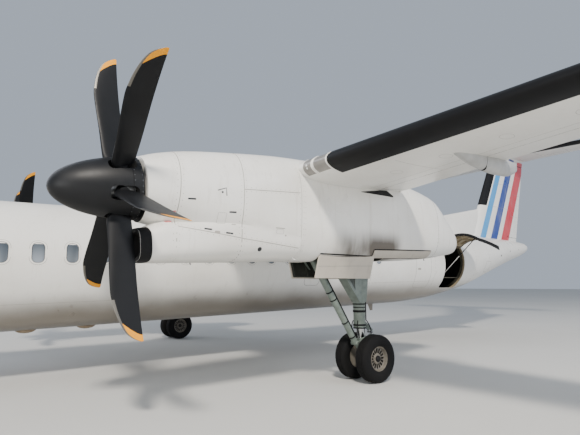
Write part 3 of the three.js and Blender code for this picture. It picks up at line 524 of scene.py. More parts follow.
def lathe(name, profile, material, matrix, steps=64):
    """A profile of (along, radius) points in millimetres, spun about its local X axis."""
    deselect()
    bpy.ops.mesh.primitive_plane_add(size=1, enter_editmode=True)
    mesh = bmesh.from_edit_mesh(bpy.context.object.data)
    bmesh.ops.delete(mesh, geom=mesh.verts, context="VERTS")
    points = [mesh.verts.new((along * MM, 0, radius * MM)) for along, radius in profile]
    for a, b in zip(points, points[1:]):
        mesh.edges.new((a, b))
    bmesh.update_edit_mesh(bpy.context.object.data)
    bpy.ops.mesh.select_all(action="SELECT")
    bpy.ops.mesh.spin(steps=steps, angle=2 * math.pi, center=(0, 0, 0), axis=(1, 0, 0))
    bpy.ops.mesh.select_all(action="SELECT")
    bpy.ops.mesh.remove_doubles(threshold=1e-5)
    bpy.ops.mesh.normals_make_consistent(inside=False)
    bpy.ops.object.mode_set(mode="OBJECT")
    piece = named(name, material)
    piece.data.transform(matrix)
    return smooth(piece)


def hose(name, points, radius, material, sides):
    """A bent tube through points in millimetres."""
    deselect()
    bpy.ops.curve.primitive_nurbs_path_add()
    piece = bpy.context.object
    curve = piece.data
    curve.splines.clear()
    line = curve.splines.new("NURBS")
    line.points.add(len(points) - 1)
    for spot, point in zip(line.points, points):
        spot.co = (*(value * MM for value in point), 1)
    line.order_u = min(4, len(points))
    line.use_endpoint_u = True
    line.resolution_u = 6
    curve.bevel_depth = radius * MM
    curve.bevel_resolution = max(0, sides // 4 - 1)
    curve.use_fill_caps = True
    bpy.ops.object.convert(target="MESH")
    return smooth(named(name, material), 60)


def plane_frame(origin, along, up):
    """A matrix whose X runs along and whose Z is as near up as it can be."""
    x = Vector(along).normalized()
    z = Vector(up) - x * Vector(up).dot(x)
    z.normalize()
    return Matrix.Translation(Vector(origin) * MM) @ Matrix((x, z.cross(x), z)).transposed().to_4x4()


class Surface:
    """A piece's outer surface, for laying trim on it."""

    def __init__(self, *names):
        self.trees = []
        for name in names:
            mesh = bmesh.new()
            mesh.from_mesh(bpy.data.objects[name].data)
            self.trees.append(BVHTree.FromBMesh(mesh))
            mesh.free()

    def hit(self, start, toward):
        """Where a ray from a point in millimetres first meets the surface: place in metres, and normal."""
        origin = Vector(start) * MM
        found = [tree.ray_cast(origin, Vector(toward).normalized()) for tree in self.trees]
        found = [h for h in found if h[0] is not None]
        if not found:
            return None
        place, normal, _, _ = min(found, key=lambda h: h[3])
        if normal.dot(Vector(toward)) > 0:
            normal = -normal
        return place, normal

    def path(self, starts, towards):
        return [h for h in map(self.hit, starts, towards) if h]

    def side_path(self, points, sign=1, reach=3000):
        """Hits of level rays from one side at (station, height) points."""
        return self.path([(sign * (SIDE_X + reach), row_y(s), z) for s, z in points],
            [(-sign, 0, 0)] * len(points))

    def flat_path(self, points, up=1):
        """Hits of upright rays through points, from above where up is 1 and from below where it is -1."""
        return self.path([(x, y, z + up * 900) for x, y, z in points], [(0, 0, -up)] * len(points))

    def round_path(self, station, x, z, angles, reach=3000):
        """Hits of rays from all round towards one point of the body's middle line."""
        starts, towards = [], []
        for angle in angles:
            out = Vector((math.cos(math.radians(angle)), 0, math.sin(math.radians(angle))))
            starts.append(Vector((x, row_y(station), z)) + out * reach)
            towards.append(-out)
        return self.path(starts, towards)


def shown(name, shape, material, outward=True):
    """Makes a piece of a shape that was built from points."""
    if outward:
        bmesh.ops.recalc_face_normals(shape, faces=shape.faces)
    mesh = bpy.data.meshes.new(name)
    shape.to_mesh(mesh)
    shape.free()
    mesh.materials.append(material)
    piece = bpy.data.objects.new(name, mesh)
    bpy.context.scene.collection.objects.link(piece)
    return piece


def strips(name, paths, width, material, lift=1.2, thick=1.5):
    """Flat strips laid along paths on a surface, as sealant in a joint or a thin line of paint."""
    shape = bmesh.new()
    for path in paths:
        if len(path) < 2:
            continue
        rows = []
        for i, (place, normal) in enumerate(path):
            before, after = path[max(i - 1, 0)][0], path[min(i + 1, len(path) - 1)][0]
            side = (after - before).cross(normal)
            if side.length < 1e-9:
                continue
            side = side.normalized() * width * MM / 2
            base = place + normal * (lift - thick) * MM
            top = place + normal * lift * MM
            rows.append([shape.verts.new(p) for p in (base - side, top - side, top + side, base + side)])
        for a, b in zip(rows, rows[1:]):
            for k in range(4):
                shape.faces.new((a[k], a[(k + 1) % 4], b[(k + 1) % 4], b[k]))
        if rows:
            shape.faces.new(rows[0])
            shape.faces.new(rows[-1])
    return shown(name, shape, material)


def along(path, spacing):
    """Evenly spaced spots on a path."""
    spots, left = [], spacing / 2
    for (a, na), (b, nb) in zip(path, path[1:]):
        length = (b - a).length / MM
        while left <= length:
            t = left / length
            spots.append((a.lerp(b, t), na.lerp(nb, t).normalized()))
            left += spacing
        left -= length
    return spots


def studs(name, spots, radius, material, lift=1.0):
    """Low round heads, one at each spot: one head is modelled and copied."""
    deselect()
    bpy.ops.mesh.primitive_cone_add(vertices=8, radius1=radius * MM, radius2=radius * 0.6 * MM,
        depth=2.5 * MM)
    head = named(name + "_head", material)
    source = bmesh.new()
    source.from_mesh(head.data)
    source.verts.ensure_lookup_table()
    shape = bmesh.new()
    for place, normal in spots:
        turn = normal.to_track_quat("Z", "Y").to_matrix()
        made = [shape.verts.new(place + normal * lift * MM + turn @ v.co) for v in source.verts]
        for face in source.faces:
            shape.faces.new([made[v.index] for v in face.verts])
    source.free()
    bpy.data.objects.remove(head)
    return shown(name, shape, material, False)


def plate(name, surface, centre, size, material, sign=1, lift=1.5, corner=0, turn=0, steps=4):
    """A thin plate pressed onto a side of a surface at a (station, height), of a (length, height) size."""
    rim = rounded_rect((0, 0), size, corner, steps if corner else 0)[:-1]
    cos, sin = math.cos(math.radians(turn)), math.sin(math.radians(turn))
    rim = [(centre[0] + u * cos - w * sin, centre[1] + u * sin + w * cos) for u, w in rim]
    hits = surface.side_path(rim, sign)
    shape = bmesh.new()
    low = [shape.verts.new(place - normal * 1 * MM) for place, normal in hits]
    high = [shape.verts.new(place + normal * lift * MM) for place, normal in hits]
    shape.faces.new(high)
    shape.faces.new(low)
    for i in range(len(high)):
        j = (i + 1) % len(high)
        shape.faces.new((low[i], low[j], high[j], high[i]))
    return shown(name, shape, material)


def settle(piece, *nodes, body="airframe", slot="white_paint"):
    """Says what a finished piece rides on and stands for; slot, where it would take its finish from, is not
    used.
    """
    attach(piece, body)
    if nodes:
        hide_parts(*nodes)
    return piece


def settle_pair(piece, *nodes, body="airframe", slot="white_paint"):
    """Settles a left piece and its mirrored copy: the names hold {} where the side goes."""
    base = piece.name
    twin = copied(piece, f"{base}_right", MIRROR)
    piece.name = piece.data.name = f"{base}_left"
    for side, half in (("left", piece), ("right", twin)):
        settle(half, *(node.format(side) for node in nodes), body=body.format(side), slot=slot)
    return piece, twin


# Materials


def linear(code):
    """An sRGB hex colour as linear values."""
    values = [int(code[i:i + 2], 16) / 255 for i in (1, 3, 5)]
    return (*(v / 12.92 if v <= 0.04045 else ((v + 0.055) / 1.055) ** 2.4 for v in values), 1.0)


def wire(tree, made, values):
    """Gives a node its settings, a ramp its stops, and inputs their values or links, by name or number."""
    for key, value in values.items():
        if key == "stops":
            elements = made.color_ramp.elements
            while len(elements) < len(value):
                elements.new(0.5)
            for element, (position, shade) in zip(elements, value):
                element.position = position
                element.color = linear(shade) if isinstance(shade, str) else (shade, shade, shade, 1)
        elif hasattr(made, key):
            setattr(made, key, value)
        else:
            socket = made.inputs[int(key[1:])] if key[1:].isdigit() else made.inputs[key.replace("_", " ")]
            if isinstance(value, bpy.types.NodeSocket):
                tree.links.new(value, socket)
            else:
                socket.default_value = linear(value) if isinstance(value, str) else value


def node(tree, kind, out=0, **values):
    """Adds a node with its settings and links, and gives one of its outputs."""
    made = tree.nodes.new("ShaderNode" + kind)
    wire(tree, made, values)
    return made.outputs[out]


def material(name, build, **shader):
    """A node material: build(add) gives the shader's inputs, and add is node() for this material's tree."""
    made = bpy.data.materials.new(name)
    made.use_nodes = True
    tree = made.node_tree
    wire(tree, tree.nodes["Principled BSDF"], {**shader, **build(partial(node, tree))})
    return made


# Share of fine detail in a noise, and how the sockets of a colour mix are numbered
GRAIN = 0.55
MIX = {"kind": "Mix", "out": 2, "data_type": "RGBA"}
# Stripes: how far aft a band runs for each metre of height, and where the set starts and ends at the ground
FIN_SLOPE = 0.5836
STRIPE_FROM, STRIPE_TO = 8.45, 12.95
TIP_PAINT_FROM, SHEATH_FROM = 1.97, 1.5


def body_level(add, spot):
    """Height above the body's rising axis, where the axis crosses the middle of the aircraft."""
    axes = add("SeparateXYZ", Vector=spot).node.outputs
    return add("Math", operation="MULTIPLY_ADD", i0=axes["Y"], i1=-AXIS_RISE, i2=axes["Z"])


def nacelle_low_patch(add, spot, streaks):
    """How far a nacelle's side is darkened to brown low down, round the wheel well."""
    axes = add("SeparateXYZ", Vector=spot).node.outputs
    drawn = add("Mapping", Vector=spot, Scale=(1.7, 1.7, 0.5), Location=(0, 0.35, 0))
    cloud = add("TexNoise", Vector=drawn, Scale=1, Detail=3, Roughness=GRAIN)
    smear = add("ValToRGB", Fac=cloud, stops=[(0.36, 0.3), (0.62, 1.0)])
    share = add("Math", operation="MULTIPLY_ADD", i0=streaks, i1=0.35, i2=smear)
    for axis, clear, dirty in (("Z", 2.84, 2.46), ("Y", -1.95, -1.2), ("Y", 0.2, -0.2)):
        fade = add("MapRange", interpolation_type="SMOOTHSTEP", Value=axes[axis], From_Min=clear,
            From_Max=dirty)
        share = add("Math", operation="MULTIPLY", i0=share, i1=fade)
    return share


def belly_dirt_and_painted_shade(add, spot, broad):
    """How much the underside of the body is darkened: oily dirt, and painted shade where the belly turns
    from the light.
    """
    ragged = add("Math", operation="MULTIPLY_ADD", i0=broad, i1=0.3, i2=body_level(add, spot))
    return add("MapRange", interpolation_type="SMOOTHSTEP", Value=ragged, From_Min=2.02, From_Max=1.4,
        To_Max=0.95)


def weathered(base, dirt, streak, grime=0.35, roughness=0.3, brown_low_patch=False, film=False):
    """Sprayed polyurethane enamel: an even gloss coat that dust and thin vertical streaks dull a little."""

    def build(add):
        spot = add("TexCoord", "Object")
        broad = add("TexNoise", Vector=spot, Scale=0.9, Detail=5, Roughness=GRAIN)
        drawn = add("Mapping", Vector=spot, Scale=(9, 9, 0.7))
        rain = add("TexNoise", Vector=drawn, Scale=1, Detail=6, Roughness=0.65)
        fine = add("TexNoise", Vector=spot, Scale=60, Detail=3, Roughness=GRAIN)
        soft = add("ValToRGB", Fac=broad, stops=[(0.42, 0.0), (0.78, grime)])
        runs = add("ValToRGB", Fac=rain, stops=[(0.56, 0.0), (0.8, grime * 0.8)])
        body = add(**MIX, i0=runs, i6=add(**MIX, i0=soft, i6=base, i7=dirt), i7=streak)
        if brown_low_patch:
            # Darkens the nacelle's side to brown low down, round the wheel well
            body = add(**MIX, i0=nacelle_low_patch(add, spot, rain), i6=body, i7="#5d554b")
        if film:
            # Oily dirt and painted shade darken the body towards the belly
            body = add(**MIX, i0=belly_dirt_and_painted_shade(add, spot, broad), i6=body, i7="#746b5e")
        gloss = add("ValToRGB", Fac=broad, stops=[(0.3, roughness - 0.04), (0.8, roughness + 0.14)])
        bump = add("Bump", Height=fine, Strength=0.04, Distance=0.0008)
        return {"Base_Color": body, "Roughness": gloss, "Normal": bump}

    return build


def stripes(colours):
    """Slanted bands that run with the fin's leading edge, from the body to the top."""

    def build(add):
        spot = add("TexCoord", "Object")
        axes = add("SeparateXYZ", Vector=spot).node.outputs
        rise = add("Math", operation="MULTIPLY", i0=axes["Z"], i1=-FIN_SLOPE)
        slant = add("Math", operation="ADD", i0=axes["Y"], i1=rise)
        share = add("MapRange", Value=slant, From_Min=STRIPE_FROM, From_Max=STRIPE_TO)
        bands = add("ValToRGB", Fac=share, stops=[
            (0.0, colours.white),
            (0.16, colours.light_blue),
            (0.25, colours.white),
            (0.34, colours.dark_blue),
            (0.47, colours.white),
            (0.56, colours.red),
            (0.74, colours.white),
        ])
        bands.node.color_ramp.interpolation = "CONSTANT"
        broad = add("TexNoise", Vector=spot, Scale=1.4, Detail=4, Roughness=GRAIN)
        dust = add("ValToRGB", Fac=broad, stops=[(0.45, 0.0), (0.85, 0.18)])
        gloss = add("ValToRGB", Fac=broad, stops=[(0.3, 0.26), (0.8, 0.4)])
        return {"Base_Color": add(**MIX, i0=dust, i6=bands, i7="#cfcac0"), "Roughness": gloss}

    return build


def rubber(base, dust, roughness, scale=4.0):
    def build(add):
        spot = add("TexCoord", "Object")
        broad = add("TexNoise", Vector=spot, Scale=scale, Detail=5, Roughness=GRAIN)
        fine = add("TexNoise", Vector=spot, Scale=220, Detail=3, Roughness=GRAIN)
        share = add("ValToRGB", Fac=broad, stops=[(0.4, 0.0), (0.8, 0.5)])
        tint = add(**MIX, i0=share, i6=base, i7=dust)
        gloss = add("ValToRGB", Fac=broad, stops=[(0.3, roughness - 0.06), (0.8, roughness + 0.1)])
        bump = add("Bump", Height=fine, Strength=0.15, Distance=0.0006)
        return {"Base_Color": tint, "Roughness": gloss, "Normal": bump}

    return build


def blade_finish(colours):
    """Black paint, a bare nickel sheath on the outer leading edge and an orange tip with a curved edge."""

    def build(add):
        axes = add("SeparateXYZ", Vector=add("UVMap", uv_map="blade")).node.outputs
        radius, share = axes["X"], axes["Y"]
        rest = add("Math", operation="SUBTRACT", i0=1.0, i1=share)
        square = add("Math", operation="MULTIPLY", i0=rest, i1=rest)
        reach = add("Math", operation="MULTIPLY_ADD", i0=square, i1=0.21, i2=radius)
        tip = add("Math", operation="GREATER_THAN", i0=reach, i1=TIP_PAINT_FROM)
        outer = add("Math", operation="GREATER_THAN", i0=radius, i1=SHEATH_FROM)
        front = add("Math", operation="LESS_THAN", i0=share, i1=0.1)
        sheath = add("Math", operation="MULTIPLY", i0=outer, i1=front)
        broad = add("TexNoise", Vector=add("TexCoord", "Object"), Scale=3, Detail=5, Roughness=GRAIN)
        worn = add("ValToRGB", Fac=broad, stops=[(0.4, 0.0), (0.8, 0.6)])
        black = add(**MIX, i0=worn, i6=colours.propeller, i7="#17181b")
        tipped = add(**MIX, i0=tip, i6=black, i7=colours.blade_tip)
        colour = add(**MIX, i0=sheath, i6=tipped, i7="#77746e")
        gloss = add("ValToRGB", Fac=broad, stops=[(0.3, 0.42), (0.8, 0.52)])
        return {"Base_Color": colour, "Metallic": sheath, "Roughness": gloss}

    return build


def window(add):
    """Darker towards the top of the row as painted shade under each window's upper rim, over a paler
    grey-blue painted reflection, with darker patches at random.
    """
    spot = add("TexCoord", "Object")
    high = add("MapRange", Value=body_level(add, spot), From_Min=2.38, From_Max=2.7)
    drawn = add("Mapping", Vector=spot, Scale=(1, 1.3, 0))
    cabin = add("TexNoise", Vector=drawn, Scale=1.4, Detail=2, Roughness=GRAIN)
    # Painted shade at the top of each pane, painted grey-blue reflection below
    shade = add(**MIX, i0=high, i6="#8e969f", i7="#48515a")
    dark = add("ValToRGB", Fac=cabin, stops=[(0.44, 0.0), (0.6, 0.85)])
    return {"Base_Color": add(**MIX, i0=dark, i6=shade, i7="#2c353e")}


def plain(base, shade, roughness, scale, bump=0.05, metal=0.0):
    """An even finish that is a little duller and darker in patches, with a fine grain."""

    def build(add):
        spot = add("TexCoord", "Object")
        broad = add("TexNoise", Vector=spot, Scale=scale, Detail=5, Roughness=GRAIN)
        share = add("ValToRGB", Fac=broad, stops=[(0.38, 0.0), (0.8, 1.0)])
        tint = add(**MIX, i0=share, i6=base, i7=shade)
        gloss = add("ValToRGB", Fac=broad, stops=[(0.3, max(0.04, roughness - 0.07)),
                (0.8, roughness + 0.1)])
        inputs = {"Base_Color": tint, "Roughness": gloss, "Metallic": metal}
        if bump:
            fine = add("TexNoise", Vector=spot, Scale=90, Detail=3, Roughness=GRAIN)
            inputs["Normal"] = add("Bump", Height=fine, Strength=bump, Distance=0.0008)
        return inputs

    return build


def build_materials(colours):
    """Makes every finish of the aircraft, by name."""
    glossy = {"Coat_Weight": 0.25, "Coat_Roughness": 0.12}
    # Columns: finish, material's name, how it is built, and the shader's other inputs
    table = [
        # Two-part polyurethane enamel on aluminium: white, glossy, a little dusty, darker on the belly with
        # dirt and painted shade
        ("white_enamel", "white_polyurethane_enamel",
         weathered(colours.white, "#cfcac0", "#b9b3a6", film=True), glossy),
        # The same enamel, darkened to brown low on the nacelles' sides round the wheel wells
        ("nacelle_enamel", "nacelle_polyurethane_enamel",
         weathered(colours.white, "#c9c2b4", "#a79d8b", 0.5, brown_low_patch=True),
         {"Coat_Weight": 0.2, "Coat_Roughness": 0.15}),
        # The same enamel on the wheel doors, darker beige: dust and tyre dirt, and painted shade for the
        # wing's shadow on doors that face down
        ("door_enamel", "dusty_door_enamel", weathered("#c2baad", "#a59c8e", "#8d8375", 0.7, 0.42),
         {"Coat_Weight": 0.1}),
        # White enamel with masked and sprayed bands of colour
        ("tail_enamel", "tail_striped_enamel", stripes(colours), glossy),
        # Neoprene de-icing boot: black, satin, slightly chalky
        ("boot", "neoprene_boot", rubber("#0c0c0e", "#151619", 0.5, 1.5), {"Specular_IOR_Level": 0.2}),
        # Natural rubber tyre: matt, greyed by dust
        ("tyre", "natural_rubber_tyre", rubber("#0e0e0f", "#1b1a18", 0.85), {"Specular_IOR_Level": 0.2}),
        # Synthetic rubber hose and seal: black and dull
        ("seal", "rubber_seal", rubber("#0c0c0d", "#17171a", 0.7, 12), {"Specular_IOR_Level": 0.25}),
        # Carbon-fibre blade under satin black polyurethane
        ("blade", "composite_blade", blade_finish(colours), {"Specular_IOR_Level": 0.25}),
        # Erosion-resistant matt black paint on spun aluminium
        ("spinner", "spinner_black_paint", plain("#0f1012", "#17181a", 0.5, 3),
         {"Specular_IOR_Level": 0.3}),
        # Epoxy enamel on forged steel and aluminium legs: grey-green, satin
        ("leg", "leg_grey_green_enamel", plain("#6c766e", "#555e57", 0.42, 9)),
        # The legs' enamel in the yoke's recesses, darkened as painted shade
        ("leg_shade", "greasy_leg_enamel", plain("#4c524d", "#373b38", 0.6, 9)),
        # Polyurethane enamel of the flap-track fairings, painted grey as the shade they lie in under the
        # wing
        ("track_enamel", "grey_polyurethane_enamel", plain("#b2b2b0", "#9b9a97", 0.36, 5),
         {"Coat_Weight": 0.2}),
        # Hard chromed piston
        ("chrome", "hard_chrome", plain("#c9ccce", "#b4b7b9", 0.12, 9, bump=0, metal=1.0)),
        # Silvery enamel on forged aluminium wheels, brown with brake dust
        ("wheel", "wheel_enamel", plain("#756f65", "#534e46", 0.5, 14, metal=0.2)),
        # Zinc primer and hydraulic grime in the wheel wells and on the gear doors' inner frames, near black
        # as painted shade
        ("primer", "well_primer", plain("#34362f", "#1f1e1b", 0.75, 5)),
        # Dark cavities: intake ducts, gaps, vents and the baggage bay, near black as painted shade, with
        # soot at the exhaust ports
        ("cavity", "sooty_cavity", plain("#121212", "#1e1d1b", 0.85, 5)),
        # Stretched acrylic over the cabin
        ("glass", "stretched_acrylic_window", window,
         {"Roughness": 0.12, "Coat_Weight": 0.4, "Coat_Roughness": 0.03}),
        # Heated glass windscreens: darker and very smooth
        ("windscreen", "laminated_windscreen", plain("#12171c", "#1b2127", 0.07, 2.5, bump=0),
         {"Coat_Weight": 0.8, "Coat_Roughness": 0.02}),
        # Clear polycarbonate over the wing's lamps
        ("lens", "polycarbonate_lens", plain("#74716c", "#8d8880", 0.12, 5, bump=0),
         {"Coat_Weight": 0.5, "Coat_Roughness": 0.03}),
        # Polished reflectors of the lamps behind the cover
        ("reflector", "lamp_reflector", plain("#dcdcd8", "#c4c4c0", 0.2, 20, bump=0)),
        # Polysulphide sealant in joints, greyed by dirt
        ("seam", "joint_sealant", plain("#a5a199", "#87827a", 0.7, 9)),
        # Aluminium rivet and screw heads under thin paint
        ("rivet", "flush_rivet", plain("#a9a69e", "#8f8b83", 0.5, 30, bump=0)),
        # Black printed film for arrows' and handles' places, left without words
        ("mark", "black_marking_film", plain("#26272a", "#393a3d", 0.5, 30, bump=0)),
        # Glass-fibre covers of the belly's antennas, brown with dirt
        ("tan_dome", "dirty_radome", plain("#94826a", "#6f604d", 0.6, 9)),
        # Red printed film
        ("red_mark", "red_marking_film", plain("#c46a6a", "#d08a86", 0.5, 30, bump=0)),
        # Glass-fibre lining panels, beige gel coat, scuffed
        ("lining", "beige_lining", plain("#a4967b", "#82755e", 0.65, 3)),
        # Primed aluminium frames of the bay: dark olive
        ("frame_primer", "olive_frame_primer", plain("#4f4c40", "#34322b", 0.7, 6)),
        # Heat-stained stainless steel
        ("exhaust", "stained_stainless", plain("#5b5249", "#33302d", 0.42, 7, metal=0.85)),
        # Bare machined steel on bolts and hinges
        ("steel", "machined_steel", plain("#8d8f91", "#6e7072", 0.35, 25, metal=0.9)),
        # Chequered aluminium treads
        ("tread", "anodised_tread", plain("#7d8084", "#5f6266", 0.45, 9, metal=0.6)),
        # Lamp covers in moulded glass
        ("red_glass", "red_lamp_glass", plain("#a81c1c", "#8c1414", 0.12, 9, bump=0), {"Coat_Weight": 0.8}),
        ("green_glass", "green_lamp_glass", plain("#1c8a4c", "#156c3b", 0.12, 9, bump=0),
         {"Coat_Weight": 0.8}),
        # Pale studio floor, rolled matt paint
        ("floor", "studio_floor", plain("#c9c8c4", "#c2c1bd", 0.85, 0.15, bump=0)),
    ]
    return {finish: material(name, build, **dict(*more)) for finish, name, build, *more in table}


FINISH = SimpleNamespace()


class AirlinerSettings(bpy.types.PropertyGroup):
    """Sizes and colours that a user may change."""

    white: bpy.props.StringProperty(name="White enamel", description="sRGB hex of the white enamel",
        default="#e9e7e1")
    red: bpy.props.StringProperty(name="Red stripe", description="sRGB hex of the red stripe",
        default="#c81f33")
    dark_blue: bpy.props.StringProperty(name="Dark stripe", description="sRGB hex of the dark blue stripe",
        default="#21408f")
    light_blue: bpy.props.StringProperty(name="Light stripe",
        description="sRGB hex of the light blue stripe", default="#3f93cf")
    propeller: bpy.props.StringProperty(name="Blade black", description="sRGB hex of the blades",
        default="#0e0f11")
    blade_tip: bpy.props.StringProperty(name="Blade tip", description="sRGB hex of the tips",
        default="#eb9c14")
    seam_width: bpy.props.FloatProperty(name="Seam width", description="Width of a joint's sealant",
        default=0.011, unit="LENGTH", min=0.002, max=0.03)
    rivet_pitch: bpy.props.FloatProperty(name="Rivet pitch", description="Spacing of the rivets that show",
        default=0.09, unit="LENGTH", min=0.02, max=0.3)
    window_width: bpy.props.FloatProperty(name="Window width", description="Width of a cabin window",
        default=0.205, unit="LENGTH", min=0.1, max=0.4)
    window_height: bpy.props.FloatProperty(name="Window height", description="Height of a cabin window",
        default=0.36, unit="LENGTH", min=0.15, max=0.5)
    key_light: bpy.props.FloatProperty(name="Key light",
        description="Power of the large soft lamp, in watts", default=29000.0, min=0.0)


def settings():
    return bpy.context.scene.airliner


# Fuselage, its doors and windows


def slab(name, x, y, z, material=None, corner=0, axis=0, matrix=None, steps=5):
    """A box whose four edges along one axis are rounded, in millimetres."""
    piece = block(name, x, y, z, material)

    def pick_long(mesh):
        for edge in mesh.edges:
            a, b = edge.verts
            edge.select = abs((a.co - b.co).normalized()[axis]) > 0.99

    if corner:
        take(piece)
        rounded(piece, corner, steps, pick_long)
        smooth(piece)
    if matrix:
        piece.data.transform(matrix)
    return piece


def turned(origin, axis, degrees):
    """A turn about a line through a point in millimetres."""
    there = Matrix.Translation(Vector(origin) * MM)
    return there @ Matrix.Rotation(math.radians(degrees), 4, Vector(axis)) @ there.inverted()


def body_skin(name, start, end, grow, finish, rows=16):
    return skin(name, [body_ring(station, grow) for station in spread(start, end, rows)], finish)


def room(name, door, far_x, ahead, behind, below, above, finish):
    """The hollow behind a doorway, as wide as the body's wall leaves."""
    y = (row_y(door["from"] - ahead), row_y(door["to"] + behind))
    space = block(name, (far_x, 1700), y, (door["sill"] - below, door["head"] + above), finish)
    inner = body_skin(name + "_wall", door["from"] - ahead - 200, door["to"] + behind + 200, -WALL, finish)
    return carve(space, inner, how="INTERSECT")


def doorway(door, finish, corner=90):
    y = (row_y(door["from"]), row_y(door["to"]))
    return slab("doorway", (400, 1700), y, (door["sill"], door["head"]), finish, corner)


def door_shell(name, door, outside, inside, edge, low, high, corner=82):
    """The piece of the body's wall that fills a doorway, 8 mm smaller all round."""
    shell = body_skin(name, door["from"] - 60, door["to"] + 60, 0, outside)
    hollow = body_skin(name + "_inside", door["from"] - 90, door["to"] + 90, -WALL, inside)
    gap = (row_y(door["from"]) + CLEARANCE, row_y(door["to"]) - CLEARANCE)
    outline = slab(name + "_outline", (400, 1700), gap, (low, high), edge, corner)
    return carve(carve(shell, outline, how="INTERSECT"), hollow)


BODY_STOPS = sorted({0.4, 6, 25, 60, 95, 130, *spread(130, 3200, 30), *spread(3200, 9000, 18),
                     *spread(9000, 19600, 12), *spread(19600, 25600, 20), *spread(25600, 31630, 22),
                     *spread(31630, 32260, 10)})
WINDOW_FIRST, WINDOW_PITCH, WINDOW_COUNT = 5645, 570, 26
WINDOW_RISE = 190
WINDOW_CORNER = 0.42


def window_spots():
    """Middle of each cabin window, as a station and a height."""
    stations = [WINDOW_FIRST + WINDOW_PITCH * i for i in range(WINDOW_COUNT)]
    return [(station, axis_height(station) + WINDOW_RISE) for station in stations]


def dense(points, step=60):
    """The same path with a point at least every so many millimetres."""
    out = [points[0]]
    for a, b in zip(points, points[1:]):
        count = max(1, math.ceil(math.dist(a, b) / step))
        out += [tuple(p + (q - p) * k / count for p, q in zip(a, b)) for k in range(1, count + 1)]
    return out


def body_point(station, angle, lift=0):
    """A point on the body's skin at an angle above its left side, in millimetres."""
    half, top, bottom = body_curve(station)
    height = axis_height(station)
    middle, tall = height + (top + bottom) / 2, (top - bottom) / 2
    return (
        (half + lift) * math.cos(math.radians(angle)),
        row_y(station),
        middle + (tall + lift) * math.sin(math.radians(angle)),
    )


def pane(name, corners, finish, lift=5, count=10):
    """A curved pane on the nose, from four (station, angle) corners."""
    (a, b, c, d) = corners
    shape = bmesh.new()
    sheets = []
    for level in (-12, lift):
        sheet = []
        for i in range(count + 1):
            u = i / count
            row = []
            for k in range(count + 1):
                v = k / count
                spot = [(p * (1 - u) + q * u) * (1 - v) + (s * (1 - u) + r * u) * v for p, q, r, s in zip(a,
                        b, c, d)]
                row.append(shape.verts.new([value * MM for value in body_point(*spot, level)]))
            sheet.append(row)
        sheets.append(sheet)
    for sheet in sheets:
        for first, second in zip(sheet, sheet[1:]):
            for k in range(count):
                shape.faces.new((first[k], first[k + 1], second[k + 1], second[k]))
    low, high = sheets
    edges = [[row[0] for row in s] for s in sheets], [[row[-1] for row in s] for s in sheets], (low[0],
        high[0]), (low[-1], high[-1])
    for under, over in edges:
        for k in range(count):
            shape.faces.new((under[k], under[k + 1], over[k + 1], over[k]))
    return smooth(shown(name, shape, finish))


# Windscreen and side panes: (station, angle) of the corners, lower and upper front, upper and lower rear
PANES = [
    ("windscreen_front", [(1790, 86), (2560, 88), (2500, 62), (1840, 52)]),
    ("windscreen_side", [(1890, 48), (2520, 58), (2760, 43), (2240, 28)]),
    ("windscreen_rear", [(2330, 27), (2850, 41), (3130, 38), (3060, 21)]),
]


def make_fuselage(f):
    hull = skin("fuselage_skin", [body_ring(station) for station in BODY_STOPS], f.white_enamel)
    carve(
        hull,
        room("vestibule", STAIR, -900, 130, 130, 0, 60, f.lining),
        doorway(STAIR, f.white_enamel),
        room("baggage_bay", BAG, -1250, 600, 500, 10, 120, f.cavity),
        doorway(BAG, f.lining),
        block("nose_well", (-250, 250), (row_y(1500), row_y(2500)), (300, 1330), f.primer),
    )
    surface = Surface(hull.name)
    cutters = []
    corner = settings().window_width / MM * WINDOW_CORNER
    for station, height in window_spots():
        for sign in (1, -1):
            hit = surface.hit((sign * 3000, row_y(station), height), (-sign, 0, 0))
            turn = plane_frame(hit[0] / MM, hit[1], (0, 0, 1))
            half = settings().window_width / MM / 2, settings().window_height / MM / 2
            cutters.append(slab("window", (-14, 40), (-half[0], half[0]), (-half[1], half[1]), f.glass,
                    corner, 0, turn, 4))
    carve(hull, join("windows", cutters))
    smooth(hull, 25)
    settle(hull, "fuselage_nose", "fuselage_forward", "fuselage_centre", "fuselage_aft", "tail_cone")
    for name, corners in PANES:
        for side, sign in SIDES:
            spots = [(station, angle if sign > 0 else 180 - angle) for station, angle in corners]
            settle(pane(f"{name}_{side}", spots, f.windscreen), slot="propeller_black")


class AIRLINER_OT_fuselage(bpy.types.Operator):
    """Fuselage skin with its doorways, rooms behind them and nose wheel well"""

    bl_idname = "airliner.fuselage"
    bl_label = "Fuselage"

    def execute(self, context):
        make_fuselage(FINISH)
        return {"FINISHED"}


